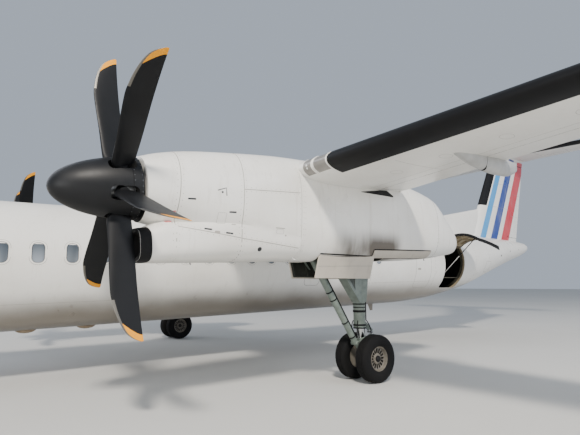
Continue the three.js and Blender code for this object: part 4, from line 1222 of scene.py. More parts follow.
def make_body_seams(f):
    surface = Surface("fuselage_skin")
    width = settings().seam_width / MM
    rounds = [surface.round_path(station, 0, axis_height(station), spread(-180, 180, 72)) for station in (
            760, 3200, 9000, 12500, 19600, 22800, 25600, 28600, 31400)]
    settle(strips("body_joints", rounds, width * 0.7, f.seam))
    outlines = []
    for centre, size, corner, signs in (
        ((22150, 2450), (820, 1530), 150, (1, -1)),
        ((3920, 2050), (620, 1560), 120, (-1,)),
        ((26800, 2500), (520, 420), 80, (1, -1)),
        ((17300, 2250), (520, 960), 100, (1, -1)),
        ((5150, 1330), (480, 360), 60, (1, -1)),
        ((8700, 1480), (1150, 420), 40, (1, -1)),
    ):
        for sign in signs:
            outlines.append(surface.side_path(dense(rounded_rect(centre, size, corner)), sign))
    settle(strips("body_door_outlines", outlines, width, f.seam))
    for name, beyond, wide, finish, lift in (("window_lips", 20, 32, f.white_enamel, 4.5),
            ("window_gaskets", 2, 6, f.seal, 5), ("window_outlines", 40, 6, f.seam, 1.4)):
        frames = []
        for station, height in window_spots():
            size = [side / MM + 2 * beyond for side in (settings().window_width, settings().window_height)]
            for sign in (1, -1):
                corner = settings().window_width / MM * WINDOW_CORNER + beyond
                frames.append(surface.side_path(rounded_rect((station, height), size, corner), sign))
        settle(strips(name, frames, wide, finish, lift, lift + 2))
    lines = []
    for sign in (1, -1):
        for rise, start, end in ((-500, 3300, 8900), (-730, 9100, 12300), (-560, 19700, 22700)):
            level = [(s, axis_height(s) + rise) for s in spread(start, end, 30)]
            lines.append(surface.side_path(level, sign))
    settle(strips("body_lap_joints", lines, width * 0.5, f.seam, 0.8))
    spots = []
    for sign in (1, -1):
        for station in (8130, 8415, 8985, 9555):
            for rise in (-760, -640, -520, -400, -290, 480, 620, 760):
                spots += surface.side_path([(station, axis_height(station) + rise)], sign)
    settle(studs("body_fasteners", spots, 7, f.rivet, 0.6), slot="wheel_metal")
    for side, sign in SIDES:
        handle = plate(f"door_handle_{side}", surface, (21900, 2300), (150, 60), f.seam, sign, 2, 14)
        settle(handle, slot="wheel_metal")
    for i, (station, height, size) in enumerate((
        (1250, 1500, (70, 34)), (1250, 1640, (70, 34)), (28150, 3000, (90, 60)), (29300, 3250, (60, 60)),
        (30500, 3380, (70, 40)), (30224, 3860, (110, 34)),
    )):
        for side, sign in SIDES:
            vent = plate(f"body_vent_{i}_{side}", surface, (station, height), size, f.cavity, sign, 1, 12)
            settle(vent, slot="propeller_black")


class AIRLINER_OT_body_seams(bpy.types.Operator):
    """Joints, door outlines and small fittings of the fuselage"""

    bl_idname = "airliner.body_seams"
    bl_label = "Fuselage joints and doors"

    def execute(self, context):
        make_body_seams(FINISH)
        return {"FINISHED"}


def make_airstair(f):
    panel = door_shell("airstair_panel", STAIR, f.white_enamel, f.lining, f.seal, STAIR["z"] + 14,
        STAIR["head"] - CLEARANCE)
    settle(smooth(panel, 25), "airstair_door", body="airstair")
    width = (row_y(STAIR["from"]) + 90, row_y(STAIR["to"]) - 90)
    step = None
    for i in range(1, 6):
        height = STAIR["z"] + 265 * i
        inside = 1000 + 250 * math.sin(math.pi * (height - 1165) / 1675) - 40
        turn = turned((inside, 0, height), (0, 1, 0), 40)
        if step is None:
            step = block("airstair_step", (-190, 30), width, (-14, 14), f.tread, bevel=6)
            for k in range(6):
                groove = block("groove", (-170 + 30 * k, -160 + 30 * k), (width[0] + 20, width[1] - 20),
                    (11, 20), f.seal)
                carve(step, groove)
        spot = turn @ Matrix.Translation(Vector((inside, 0, height)) * MM)
        settle(copied(step, f"airstair_step_{i}", spot), body="airstair", slot="wheel_metal")
    bpy.data.objects.remove(step)
    for k, y in enumerate((width[0] - 30, width[1] + 30)):
        rail = hose(f"airstair_rail_{k}", [(1000, y, 1420), (860, y, 1560), (880, y, 2300),
                (1040, y, 2520)], 16, f.steel, 16)
        settle(rail, body="airstair", slot="wheel_metal")
    hinge = rod("airstair_hinge", (STAIR["x"], row_y(STAIR["from"]) + 9, STAIR["z"]),
        (STAIR["x"], row_y(STAIR["to"]) - 9, STAIR["z"]), 17, f.steel, bevel=3)
    settle(hinge, body="airstair", slot="wheel_metal")


class AIRLINER_OT_airstair(bpy.types.Operator):
    """Front passenger door, shut, with its steps inside"""

    bl_idname = "airliner.airstair"
    bl_label = "Airstair door"

    def execute(self, context):
        make_airstair(FINISH)
        return {"FINISHED"}


def make_baggage_door(f):
    opening = turned((BAG["x"], 0, BAG["z"]), (0, -1, 0), BAG["open"])
    panel = door_shell("baggage_panel", BAG, f.white_enamel, f.lining, f.seal, BAG["sill"] + CLEARANCE,
        BAG["z"] - 22, 70)
    pockets = []
    low, high = BAG["sill"] + 110, BAG["z"] - 160
    start, end = row_y(BAG["from"]) + 110, row_y(BAG["to"]) - 110
    for i in range(3):
        for k in range(4):
            y0 = start + (end - start) * i / 3
            z0 = low + (high - low) * k / 4
            pockets.append(slab("pocket", (600, 1700), (y0 + 18, y0 + (end - start) / 3 - 18),
                    (z0 + 18, z0 + (high - low) / 4 - 18), f.lining, 30))
    recess = join("pockets", pockets)
    carve(recess, body_skin("pocket_floor", BAG["from"] - 90, BAG["to"] + 90, -28, f.lining),
        how="INTERSECT")
    carve(panel, recess)
    panel.data.transform(opening)
    settle(smooth(panel, 25), "baggage_door", body="baggage_hatch")
    seal = body_skin("baggage_seal", BAG["from"] - 60, BAG["to"] + 60, -WALL + 4, f.seal)
    carve(seal, body_skin("seal_inside", BAG["from"] - 90, BAG["to"] + 90, -WALL - 16, f.seal))
    gap = 26
    outer = slab("seal_outer", (400, 1700), (row_y(BAG["from"]) + gap, row_y(BAG["to"]) - gap),
        (BAG["sill"] + gap, BAG["z"] - 60), f.seal, 60)
    inner = slab("seal_inner", (300, 1800), (row_y(BAG["from"]) + gap + 30, row_y(BAG["to"]) - gap - 30),
        (BAG["sill"] + gap + 30, BAG["z"] - 90), f.seal, 40)
    carve(outer, inner)
    carve(seal, outer, how="INTERSECT")
    carve(seal, block("peg_notch", (1050, 1400), (row_y(23330), row_y(23490)), (2162, 2208), f.seal))
    seal.data.transform(opening)
    settle(smooth(seal, 25), body="baggage_hatch", slot="tyre_rubber")
    y = row_y(23478)
    top, foot = Vector((2466, y, 3340)), Vector((1186, y, 2178))
    stay = rod("baggage_stay", top, foot, 10, f.reflector, bevel=2)
    sleeve = rod("stay_sleeve", top, top.lerp(foot, 0.5), 16, f.seal, bevel=3)
    settle(join("baggage_stay", [stay, sleeve]), body="baggage_hatch", slot="wheel_metal")
    hinge = rod("baggage_hinge", (BAG["x"], row_y(BAG["from"]) + 9, BAG["z"]),
        (BAG["x"], row_y(BAG["to"]) - 9, BAG["z"]), 19, f.steel, bevel=3)
    settle(hinge, body="baggage_hatch", slot="wheel_metal")
    peg = rod("baggage_peg", (1178, row_y(23340), 2185), (1178, row_y(23478) - 9.3, 2185), 10, f.steel)
    bracket = block("peg_bracket", (1166, 1260), (row_y(23335), row_y(23368)), (2171, 2199), f.steel,
        bevel=3)
    settle(join("baggage_peg", [peg, bracket]), slot="wheel_metal")
    frames = []
    for station, wide, deep in ((22900, 18, 70), (23150, 18, 70), (24770, 85, 110), (25050, 18, 70)):
        ring = body_skin("bay_frame", station - wide, station + wide, -WALL - 4, f.frame_primer, 2)
        carve(ring, body_skin("bay_frame_inside", station - 2 * wide, station + 2 * wide, -WALL - deep,
                f.frame_primer, 2))
        keep = block("bay_frame_keep", (-1400, 1400), (row_y(station) - 120, row_y(station) + 120),
            (1720, 3300), f.frame_primer)
        frames.append(carve(ring, keep, how="INTERSECT"))
    frames.append(block("bay_shelf", (-1150, 940), (row_y(23540), row_y(24690)), (2030, 2054),
            f.frame_primer, bevel=4))
    settle(smooth(join("baggage_bay_frames", frames), 25), slot="wheel_metal")


class AIRLINER_OT_baggage_door(bpy.types.Operator):
    """Rear baggage door, standing open, with its rod and the bay's frames"""

    bl_idname = "airliner.baggage_door"
    bl_label = "Baggage door"

    def execute(self, context):
        make_baggage_door(FINISH)
        return {"FINISHED"}


# Wing, flaps and ailerons

# Flap spans: inner x, outer x, fairing x, fairing's first and last station
FLAPS = {"flap_inner": (1500, 3800, 2650, 14950, 17050), "flap_outer": (5010, 10250, 7050, 14840, 16900)}
AILERON = {"inner": 10330, "outer": 13780, "share": 0.72}
BOOT = {"from": 5515, "over": 300, "under": 345, "lift": 3}
OUTER_ROWS = [4400, 4950, 5560, 6500, 7500, 8600, 9700, 10400, 11400, 12600, 13500]


def hinge_frame(start, end):
    """A matrix whose X runs along a hinge, Y aft and Z up, and the hinge's length."""
    a, b = Vector(start), Vector(end)
    run = (b - a).normalized()
    aft = Vector((0, 1, 0)) - run * run.y
    aft.normalize()
    return Matrix.Translation(a * MM) @ Matrix((run, aft, run.cross(aft))).transposed().to_4x4(), (
        b - a).length


def outer_wing_rings():
    rows = [wing_row(x) for x in OUTER_ROWS] + [tip_row(*tip) for tip in WING_TIP]
    return [wing_ring(row) for row in rows]


def edge_band(row, over, under, grow, steps=9):
    """A closed ring round a leading edge: over and under are how far aft it reaches, in millimetres."""

    def spot(f, sign, lift):
        h = camber_line(WING_CAMBER, f) + sign * half_thickness(row["thickness"], f)
        share = f * (1 + 2 * lift / row["chord"]) - lift / row["chord"]
        return wing_place(row, share, h, sign * lift)

    def shell(lift):
        top = [spot(over / row["chord"] * (k / steps) ** 2, 1, lift) for k in range(steps, 0, -1)]
        low = [spot(under / row["chord"] * (k / steps) ** 2, -1, lift) for k in range(1, steps + 1)]
        return [*top, spot(0, 0, lift), *low]

    return [*shell(grow), *reversed(shell(-4))]


def track_rings(x, start, end, steps=20):
    under = wing_point(x, FLAP_CUT)[2] - 70
    rings = []
    for share in spread(0, 1, steps):
        half, depth = track_curve(share)
        rings.append(cross_ring(x, row_y(start + (end - start) * share), half, under + 60, under - depth,
                2.2, sides=36))
    return rings


def cut_flap(whole, name):
    """Cuts a flap and its fairing's rear out of a wing: gives both, and the fairing's fixed front."""
    inner, outer, x, start, end = FLAPS[name]
    ends = [Vector(wing_point(at_x, FLAP_CUT)) - Vector((0, 0, FLAP_DROP)) for at_x in (inner, outer)]
    line, length = hinge_frame(*ends)
    f = FINISH
    blade_box = block("flap_box", (0, length), (0, FAR), (-20, 1000), f.seal, line)
    gap_box = block("gap_box", (-CLEARANCE, length + CLEARANCE), (-CLEARANCE, FAR), (-FAR, 1000), f.cavity,
        line)
    front_box = block("front_box", (-10, length + 10), (-FAR, -3), (-FAR, FAR), f.seal,
        line @ Matrix.Rotation(math.radians(FLAP_TURN), 4, "X"))
    flap = carve(copied(whole, name), blade_box, how="INTERSECT")
    carve(flap, front_box, keep=True)
    carve(whole, gap_box, keep=True)
    # The fairing's grey finish is painted shade
    track = skin(f"{name}_track", track_rings(x, start, end), f.track_enamel)
    rear_box = block("rear_box", (0, length), (0, FAR), (-FAR, 1000), f.seal, line)
    rear = carve(copied(track, f"{name}_track_rear"), rear_box, how="INTERSECT")
    carve(rear, front_box)
    carve(track, gap_box)
    return flap, track, rear


def make_wing(f):
    centre = skin("wing_centre_skin", [wing_ring({**wing_row(0), "x": x}) for x in (-4400, 0, 4400)],
        f.white_enamel)
    flap, track, rear = cut_flap(centre, "flap_inner")
    inner_line = [Vector(wing_point(x, FLAP_CUT)) - Vector((0, 0, FLAP_DROP)) for x in FLAPS["flap_inner"][
            :2]]
    line, length = hinge_frame(*inner_line)
    right = block("gap_box", (-CLEARANCE, length + CLEARANCE), (-CLEARANCE, FAR), (-FAR, 1000), f.cavity,
        line)
    right.data.transform(MIRROR)
    right.data.flip_normals()
    carve(centre, right)
    settle(smooth(centre, 25), "wing_centre")
    settle_pair(smooth(flap, 25), "flap_inner_{}", body="flap_inner_{}_unit")
    settle_pair(smooth(track, 25))
    settle_pair(smooth(rear, 25), body="flap_inner_{}_unit")
    wing = skin("outer_wing", outer_wing_rings(), f.white_enamel)
    flap, track, rear = cut_flap(wing, "flap_outer")
    settle_pair(smooth(flap, 25), "flap_outer_{}", body="flap_outer_{}_unit")
    settle_pair(smooth(track, 25))
    settle_pair(smooth(rear, 25), body="flap_outer_{}_unit")
    ends = [wing_point(AILERON[key], AILERON["share"]) for key in ("inner", "outer")]
    line, length = hinge_frame(*ends)
    noses = [half_thickness(wing_row(AILERON[key])["thickness"], AILERON["share"]) * wing_row(AILERON[key])[
            "chord"] for key in ("inner", "outer")]

    def line_point(a):
        return (line @ Vector((a * MM, 0, 0))) / MM

    aileron = copied(wing, "aileron")
    carve(aileron, block("aileron_box", (0, length), (0, FAR), (-400, 400), f.seal, line), how="INTERSECT")
    nose = rod("aileron_nose", line_point(0), line_point(length), noses[0] - 2, f.white_enamel,
        noses[1] - 6, 40)
    carve(aileron, nose, how="UNION")
    carve(wing, block("aileron_gap", (-CLEARANCE, length + CLEARANCE), (0, FAR), (-400, 400), f.cavity,
            line), rod("aileron_hollow", line_point(-CLEARANCE), line_point(length + CLEARANCE),
            noses[0] + 7, f.cavity, noses[1] + 7, 40))
    settle_pair(smooth(aileron, 25), "aileron_{}", body="aileron_{}_unit")
    settle_pair(smooth(wing, 25), "wing_{}")
    stops = spread(12500, 19300, 44)
    fairing = skin("root_fairing",
        [cross_ring(0, row_y(s), *fairing_curve(s), 2600, 2.6, sides=80) for s in stops], f.white_enamel)
    settle(smooth(fairing, 25), "wing_fairing")


class AIRLINER_OT_wing(bpy.types.Operator):
    """Wings with their flaps, ailerons and flap-track fairings"""

    bl_idname = "airliner.wing"
    bl_label = "Wings"

    def execute(self, context):
        make_wing(FINISH)
        return {"FINISHED"}


def make_wing_edges(f):
    rows = [wing_row(x) for x in spread(BOOT["from"], 13850, 14)] + [tip_row(14000, 0.98, 0.9)]
    boot = skin("wing_boot", [edge_band(row, BOOT["over"], BOOT["under"], BOOT["lift"]) for row in rows],
        f.boot)
    settle_pair(smooth(boot, 40), slot="tyre_rubber")
    covers = [skin("lamp_cover", [edge_band(wing_row(x), 105, 140, 3.4) for x in spread(*ends, 4)],
            f.lens) for ends in ((4975, 5160), (5215, 5488))]
    settle_pair(smooth(join("lamp_covers", covers), 40), slot="wheel_metal")
    bars = [skin("lamp_bar", [edge_band(wing_row(x), 120, 158, 6) for x in ends],
            f.white_enamel) for ends in ((4966, 4978), (5156, 5172), (5200, 5216), (5486, 5500))]
    settle_pair(smooth(join("lamp_bars", bars), 40))
    surface = Surface("outer_wing_left")
    lamps = []
    for x, z in ((5060, 3700), (5064, 3655)):
        spot, normal = surface.hit((x, row_y(13000), z), (0, 1, 0))
        lamps.append(lathe("landing_lamp", [(2, 0), (2, 20), (5, 19), (8, 12), (9, 0)], f.reflector,
                plane_frame(spot / MM, normal, (0, 0, 1)), 24))
    settle_pair(join("landing_lamps", lamps), slot="wheel_metal")

    def chord_line(x, start, end, up):
        return surface.flat_path([wing_point(x, share) for share in spread(start, end, 24)], up)

    def span_line(share, start, end, up):
        return surface.flat_path([wing_point(x, share) for x in spread(start, end, 60)], up)

    lines = [chord_line(x, 0.2, 0.69, up) for x in (6400, 10300, 13700) for up in (1, -1)]
    lines += [span_line(share, 4980, 13600, up) for share, up in ((0.24, 1), (0.6, 1), (0.6, -1))]
    settle_pair(strips("wing_joints", lines, 5, f.rivet))
    hatches = []
    for x in (6000, 6900, 7800, 8700, 9600, 10700, 11700):
        ring = []
        for k in range(25):
            angle = 2 * math.pi * k / 24
            y = Vector(wing_point(x, 0.42)).y + 130 * math.sin(angle)
            ring.append((x + 80 * math.cos(angle), y, 2500))
        hatches.append(surface.path(ring, [(0, 0, 1)] * len(ring)))
    settle_pair(strips("wing_hatches", hatches, 4, f.rivet))
    lamp = skin("tip_lamp", [edge_band(row, 60, 60, 5) for row in (tip_row(14010, 0.978, 0.88),
                tip_row(14120, 0.94, 0.66))], f.red_glass)
    _, right = settle_pair(smooth(lamp, 40))
    right.data.materials[0] = f.green_glass
    wicks = [rod("wick", wing_point(x, 0.995), Vector(wing_point(x, 0.995)) + Vector((0, 150, -12)), 4,
            f.seal, 1.5, 8) for x in (11000, 12000, 13000)]
    settle_pair(join("aileron_wicks", wicks), body="aileron_{}_unit", slot="propeller_black")


class AIRLINER_OT_wing_edges(bpy.types.Operator):
    """De-icing boots, lamps, panel joints and dischargers of the wings"""

    bl_idname = "airliner.wing_edges"
    bl_label = "Wing edges and lamps"

    def execute(self, context):
        make_wing_edges(FINISH)
        return {"FINISHED"}


# Nacelles and propellers

EXHAUST = {"from": (4200, 16850, 3440), "to": (3700, 17250, 3420), "port": 165, "outer": 155, "inner": 140}
SPINNER = {"nose": 834, "tail": 236, "hub": 250}
# Intake boot: how far behind the chin's front and how far off its skin each ring of the boot lies, then the
# same for the rings that line the duct
BOOT_OUTSIDE = [(150, -3), (146, 4), (60, 6), (14, 5), (2, 0), (-3, -9), (-3, -42)]
BOOT_INSIDE = [(-2, -3), (40, -5), (120, -5), (150, 4)]
# Black slots, then pale plates on a cowl's outer side: station, height, length, height, turn
COWL_SLOTS = [(12081, 2953, 115, 24, 3), (12719, 2825, 115, 24, 3), (12361, 2558, 115, 24, -4),
    (12687, 2518, 115, 24, -4)]
COWL_PLATES = [(12498, 2521, 80, 40, 0), (12760, 2650, 70, 12, 0), (13563, 2652, 170, 12, 0),
    (13671, 2544, 26, 26, 0)]
# Outlines of small covers: station, height, length, height
COWL_COVERS = [(12559, 2730, 130, 150), (13563, 2600, 130, 70)]
# Dark wedge in front of the flap on a nacelle's side, a sheet of painted shade: station, its low and its
# high edge
FLAP_WEDGE = [(15400, 3460, 3468), (15745, 3462, 3530), (15925, 3465, 3562), (16103, 3468, 3594),
    (16142, 3468, 3590), (16280, 3466, 3512), (16309, 3478, 3496)]
COWL_RED = [(11854, 2767, 90, 22, 8), (11838, 2638, 90, 22, 8)]


def prism(name, outline, x_range, finish):
    """A plate of (station, height) outline between two x values."""
    return skin(name, [[(x, row_y(s), z) for s, z in outline] for x in x_range], finish)


def shaft_frame(sign):
    there = Matrix.Translation(Vector((sign * SIDE_X, row_y(PROP_STATION), PROP_Z)) * MM)
    return there @ Matrix.Rotation(SHAFT_TILT, 4, "X")


LATHE_TO_SHAFT = Matrix.Rotation(math.pi / 2, 4, "Z")


def make_nacelles(f):
    inboard, outboard = SIDE_X - 700, SIDE_X + 700
    stops = [*spread(NACELLE[0][0], 12700, 16), *spread(12700, COWL_TOP_END - CLEARANCE, 14)[1:]]
    cowl = skin("cowl_skin", [pod_ring(nacelle_curve, s) for s in stops], f.nacelle_enamel)
    carve(cowl, block("under_wing", (inboard, outboard), (row_y(COWL_END) - CLEARANCE, row_y(16000)),
            (1500, WING_HEIGHT), f.cavity))
    chin = skin("cowl_chin", [pod_ring(chin_curve, s, 0, 64) for s in spread(CHIN[0][0], CHIN[-1][0], 22)],
        f.nacelle_enamel)
    carve(cowl, chin, how="UNION")
    bay = rod("engine_bay", (SIDE_X, row_y(11640), 3085), (SIDE_X, row_y(COWL_END) + 1, 3085), 400,
        f.cavity, 425)
    hole = rod("shaft_hole", (SIDE_X, row_y(11400), 3089), (SIDE_X, row_y(11640) + 30, 3101), 150, f.cavity)
    duct = skin("intake_duct",
        [cross_ring(SIDE_X, row_y(s), *duct_curve(s), 3.4) for s in spread(DUCT[0][0], DUCT[1][0], 6)],
        f.cavity)
    carve(cowl, bay, hole, duct)
    cowl.data.materials.append(f.seal)
    rim = len(cowl.data.materials) - 1
    for face in cowl.data.polygons:
        middle = face.center / MM
        if face.normal.y < -0.9 and middle.z < 2950 and middle.y < row_y(CHIN[0][0]) + 100:
            face.material_index = rim
    settle_pair(smooth(cowl, 28), "cowl_{}")
    front = CHIN[0][0]
    lip = [pod_ring(chin_curve, front + behind, grow, 64) for behind, grow in BOOT_OUTSIDE]
    lip += [cross_ring(SIDE_X, row_y(front + behind), *duct_curve(front + behind), 3.4, SHAFT_TILT, 64,
            grow) for behind, grow in BOOT_INSIDE]
    ring = skin("intake_boot", [*lip, lip[0]], f.seal, closed=False)
    take(ring)
    bpy.ops.object.mode_set(mode="EDIT")
    bpy.ops.mesh.select_all(action="SELECT")
    bpy.ops.mesh.remove_doubles(threshold=1e-5)
    bpy.ops.mesh.normals_make_consistent(inside=False)
    bpy.ops.object.mode_set(mode="OBJECT")
    settle_pair(smooth(ring, 60), slot="tyre_rubber")
    stops = [*spread(COWL_END, 17750, 24), *spread(17750, NACELLE[-1][0], 22)[1:]]
    pod = skin("nacelle_skin", [pod_ring(nacelle_curve, s) for s in stops], f.nacelle_enamel)
    port = rod("exhaust_port", *(Vector((x, row_y(s), z)) for x, s, z in (EXHAUST["from"], EXHAUST["to"])),
        EXHAUST["port"], f.cavity, sides=48)
    carve(pod, block("over_wing", (inboard, outboard), (row_y(COWL_END) - 10, row_y(COWL_TOP_END)),
            (WING_HEIGHT - CLEARANCE, 4400), f.cavity), block("wheel_well", (SIDE_X - 408, SIDE_X + 408),
            (row_y(14440), row_y(16080)), (1500, 3050), f.primer), port)
    settle_pair(smooth(pod, 28), "nacelle_{}")
    start, end = (Vector((x, row_y(s), z)) for x, s, z in (EXHAUST["from"], EXHAUST["to"]))
    out = (end - start).normalized()
    reach = (end - start).length
    pipe = lathe("exhaust_pipe", [(CLEARANCE, 0), (CLEARANCE, EXHAUST["outer"]),
            (reach - 90, EXHAUST["outer"]), (reach - 62, EXHAUST["outer"] - 1),
            (reach - 60, EXHAUST["inner"] + 2), (60, EXHAUST["inner"]), (60, 0)], f.exhaust,
        plane_frame(start, out, (0, 0, 1)))
    settle_pair(pipe, "exhaust_{}", slot="exhaust_metal")


class AIRLINER_OT_nacelles(bpy.types.Operator):
    """Engine cowls with their chin intakes, nacelles with wheel wells, and exhausts"""

    bl_idname = "airliner.nacelles"
    bl_label = "Nacelles"

    def execute(self, context):
        make_nacelles(FINISH)
        return {"FINISHED"}


def make_nacelle_details(f):
    cowl = Surface("cowl_skin_left")
    pod = Surface("nacelle_skin_left")
    width = settings().seam_width / MM
    whole = Surface("cowl_skin_left", "nacelle_skin_left")
    rings = [cowl.round_path(11911, SIDE_X, 3000, spread(-60, 240, 70)),
        cowl.round_path(12890, SIDE_X, 3050, spread(-180, 180, 90)), pod.round_path(17880, SIDE_X, 3050,
            spread(-180, 180, 90))]
    lines = []
    for sign in (1, -1):
        lines.append(cowl.side_path(dense([(11911, 2600), (11950, 2570), (12925, 2453), (13940, 2360)]),
                sign))
        lines.append(cowl.side_path(dense([(12890, 3184), (13940, 3257)]), sign))
    settle_pair(strips("nacelle_joints", [*rings, *lines], width, f.seam))
    for place, sign in FLANKS:
        rows = []
        for station in spread(15735, 17640, 30):
            rise = (station - 15735) * 0.0368
            made = pod.side_path([(station, z + rise) for z in spread(2408, 2275, 6)], sign)
            rows.append([(spot + normal * lift * MM) / MM for lift, hits in ((13, made),
                        (-3, made[::-1])) for spot, normal in hits])
        strip = skin(f"rear_gear_door_{place}", rows, f.door_enamel)
        settle_pair(smooth(strip, 30))
        edge = [(15735, 2420), (17640, 2490)]
        seams = [pod.side_path(dense(edge), sign), pod.side_path(dense([(15722, 2421), (15722, 2262)], 20),
                sign), pod.side_path(dense([(15735, 2262), (17640, 2332)]), sign)]
        settle_pair(strips(f"rear_gear_door_seal_{place}", seams, 20, f.seal, 3), slot="tyre_rubber")
        rings = []
        for station, low, high in FLAP_WEDGE:
            hits = whole.side_path([(station, z) for z in spread(low, high, 4)], sign)
            rings.append([(spot + normal * lift * MM) / MM for lift, part in ((4, hits),
                        (-3, hits[::-1])) for spot, normal in part])
        settle_pair(skin(f"flap_wedge_{place}", rings, f.cavity), slot="propeller_black")
        well_edge = [pod.side_path(dense([(14450, 2297), (15780, 2297)]), sign)]
        settle_pair(strips(f"wheel_well_edge_{place}", well_edge, 26, f.seal, 3), slot="tyre_rubber")
    pitch = settings().rivet_pitch / MM
    spots = []
    for station in (11868, 11950, 12846, 12934, 13950):
        spots += along(cowl.round_path(station, SIDE_X, 3030, spread(-180, 180, 120)), pitch)
    for sign in (1, -1):
        for shift in (-30, 30):
            spots += along(
                cowl.side_path(dense([(11950, 2570 + shift), (12925, 2453 + shift), (13940, 2360 + shift)]),
                    sign), pitch)
            spots += along(cowl.side_path(dense([(12880, 3184 + shift), (13940, 3257 + shift)]), sign),
                pitch)
    for station in (14020, 14060, 17850, 17910):
        spots += along(pod.round_path(station, SIDE_X, 3030, spread(-60, 240, 100)), pitch)
    settle_pair(studs("nacelle_fasteners", spots, 6.5, f.rivet, 0.8), slot="wheel_metal")
    for place, sign in FLANKS:
        for label, rows, finish, slot in (("slot", COWL_SLOTS, f.mark, "propeller_black"),
                ("plate", COWL_PLATES, f.seam, "white_paint"), ("red_mark", COWL_RED, f.red_mark,
                    "white_paint")):
            made = [plate(label, cowl, (s, z), (length, height), finish, sign, 1.6,
                    min(length, height) * 0.3, turn) for s, z, length, height, turn in rows]
            settle_pair(join(f"cowl_{label}_{place}", made), slot=slot)
        covers = [cowl.side_path(dense(rounded_rect((s, z), (length, height), 14), 30),
                sign) for s, z, length, height in COWL_COVERS]
        settle_pair(strips(f"cowl_covers_{place}", covers, 4, f.rivet))
    arrow = cowl.side_path([(12455, 3115), (12590, 3165), (12600, 3050)])
    shape = strips("cowl_triangle", [arrow], 14, f.mark, 1.6)
    settle_pair(shape, slot="propeller_black")
    ports = [((13216, 2311), 36), ((12530, 3095), 16)]
    for i, ((station, z), radius) in enumerate(ports):
        spot, normal = cowl.hit((SIDE_X + 3000, row_y(station), z), (-1, 0, 0))
        hole = lathe(f"cowl_port_{i}", [(-6, 0), (-6, radius), (3, radius), (3, radius - 5),
                (1.5, radius - 7), (1.5, 0)], f.mark, plane_frame(spot / MM, normal, (0, 0, 1)), 32)
        settle_pair(hole, slot="propeller_black")
    y = row_y(13895)
    drain = hose("cowl_drain", [(SIDE_X + 360, y, 2330), (SIDE_X + 372, y, 2215),
            (SIDE_X + 376, y + 30, 2185), (SIDE_X + 376, y + 75, 2180)], 11, f.white_enamel, 12)
    settle_pair(drain)
    for k, (station, depth) in enumerate(((12300, 30), (17900, 45))):
        hit = whole.hit((SIDE_X, row_y(station), 1500), (0, 0, 1))
        mast = rod(f"nacelle_drain_{k}", hit[0] / MM + Vector((0, 0, 15)),
            hit[0] / MM - Vector((0, -20, depth)), 12, f.steel, 9, 16)
        settle_pair(mast, slot="wheel_metal")


class AIRLINER_OT_nacelle_details(bpy.types.Operator):
    """Joints, fasteners, slots and drains of the nacelles"""

    bl_idname = "airliner.nacelle_details"
    bl_label = "Nacelle details"

    def execute(self, context):
        make_nacelle_details(FINISH)
        return {"FINISHED"}


def spinner_radius(behind):
    """The spinner's radius at a distance behind its nose: half of an ellipse."""
    return math.sqrt(max(0, 328 * behind - 0.1405 * behind**2))


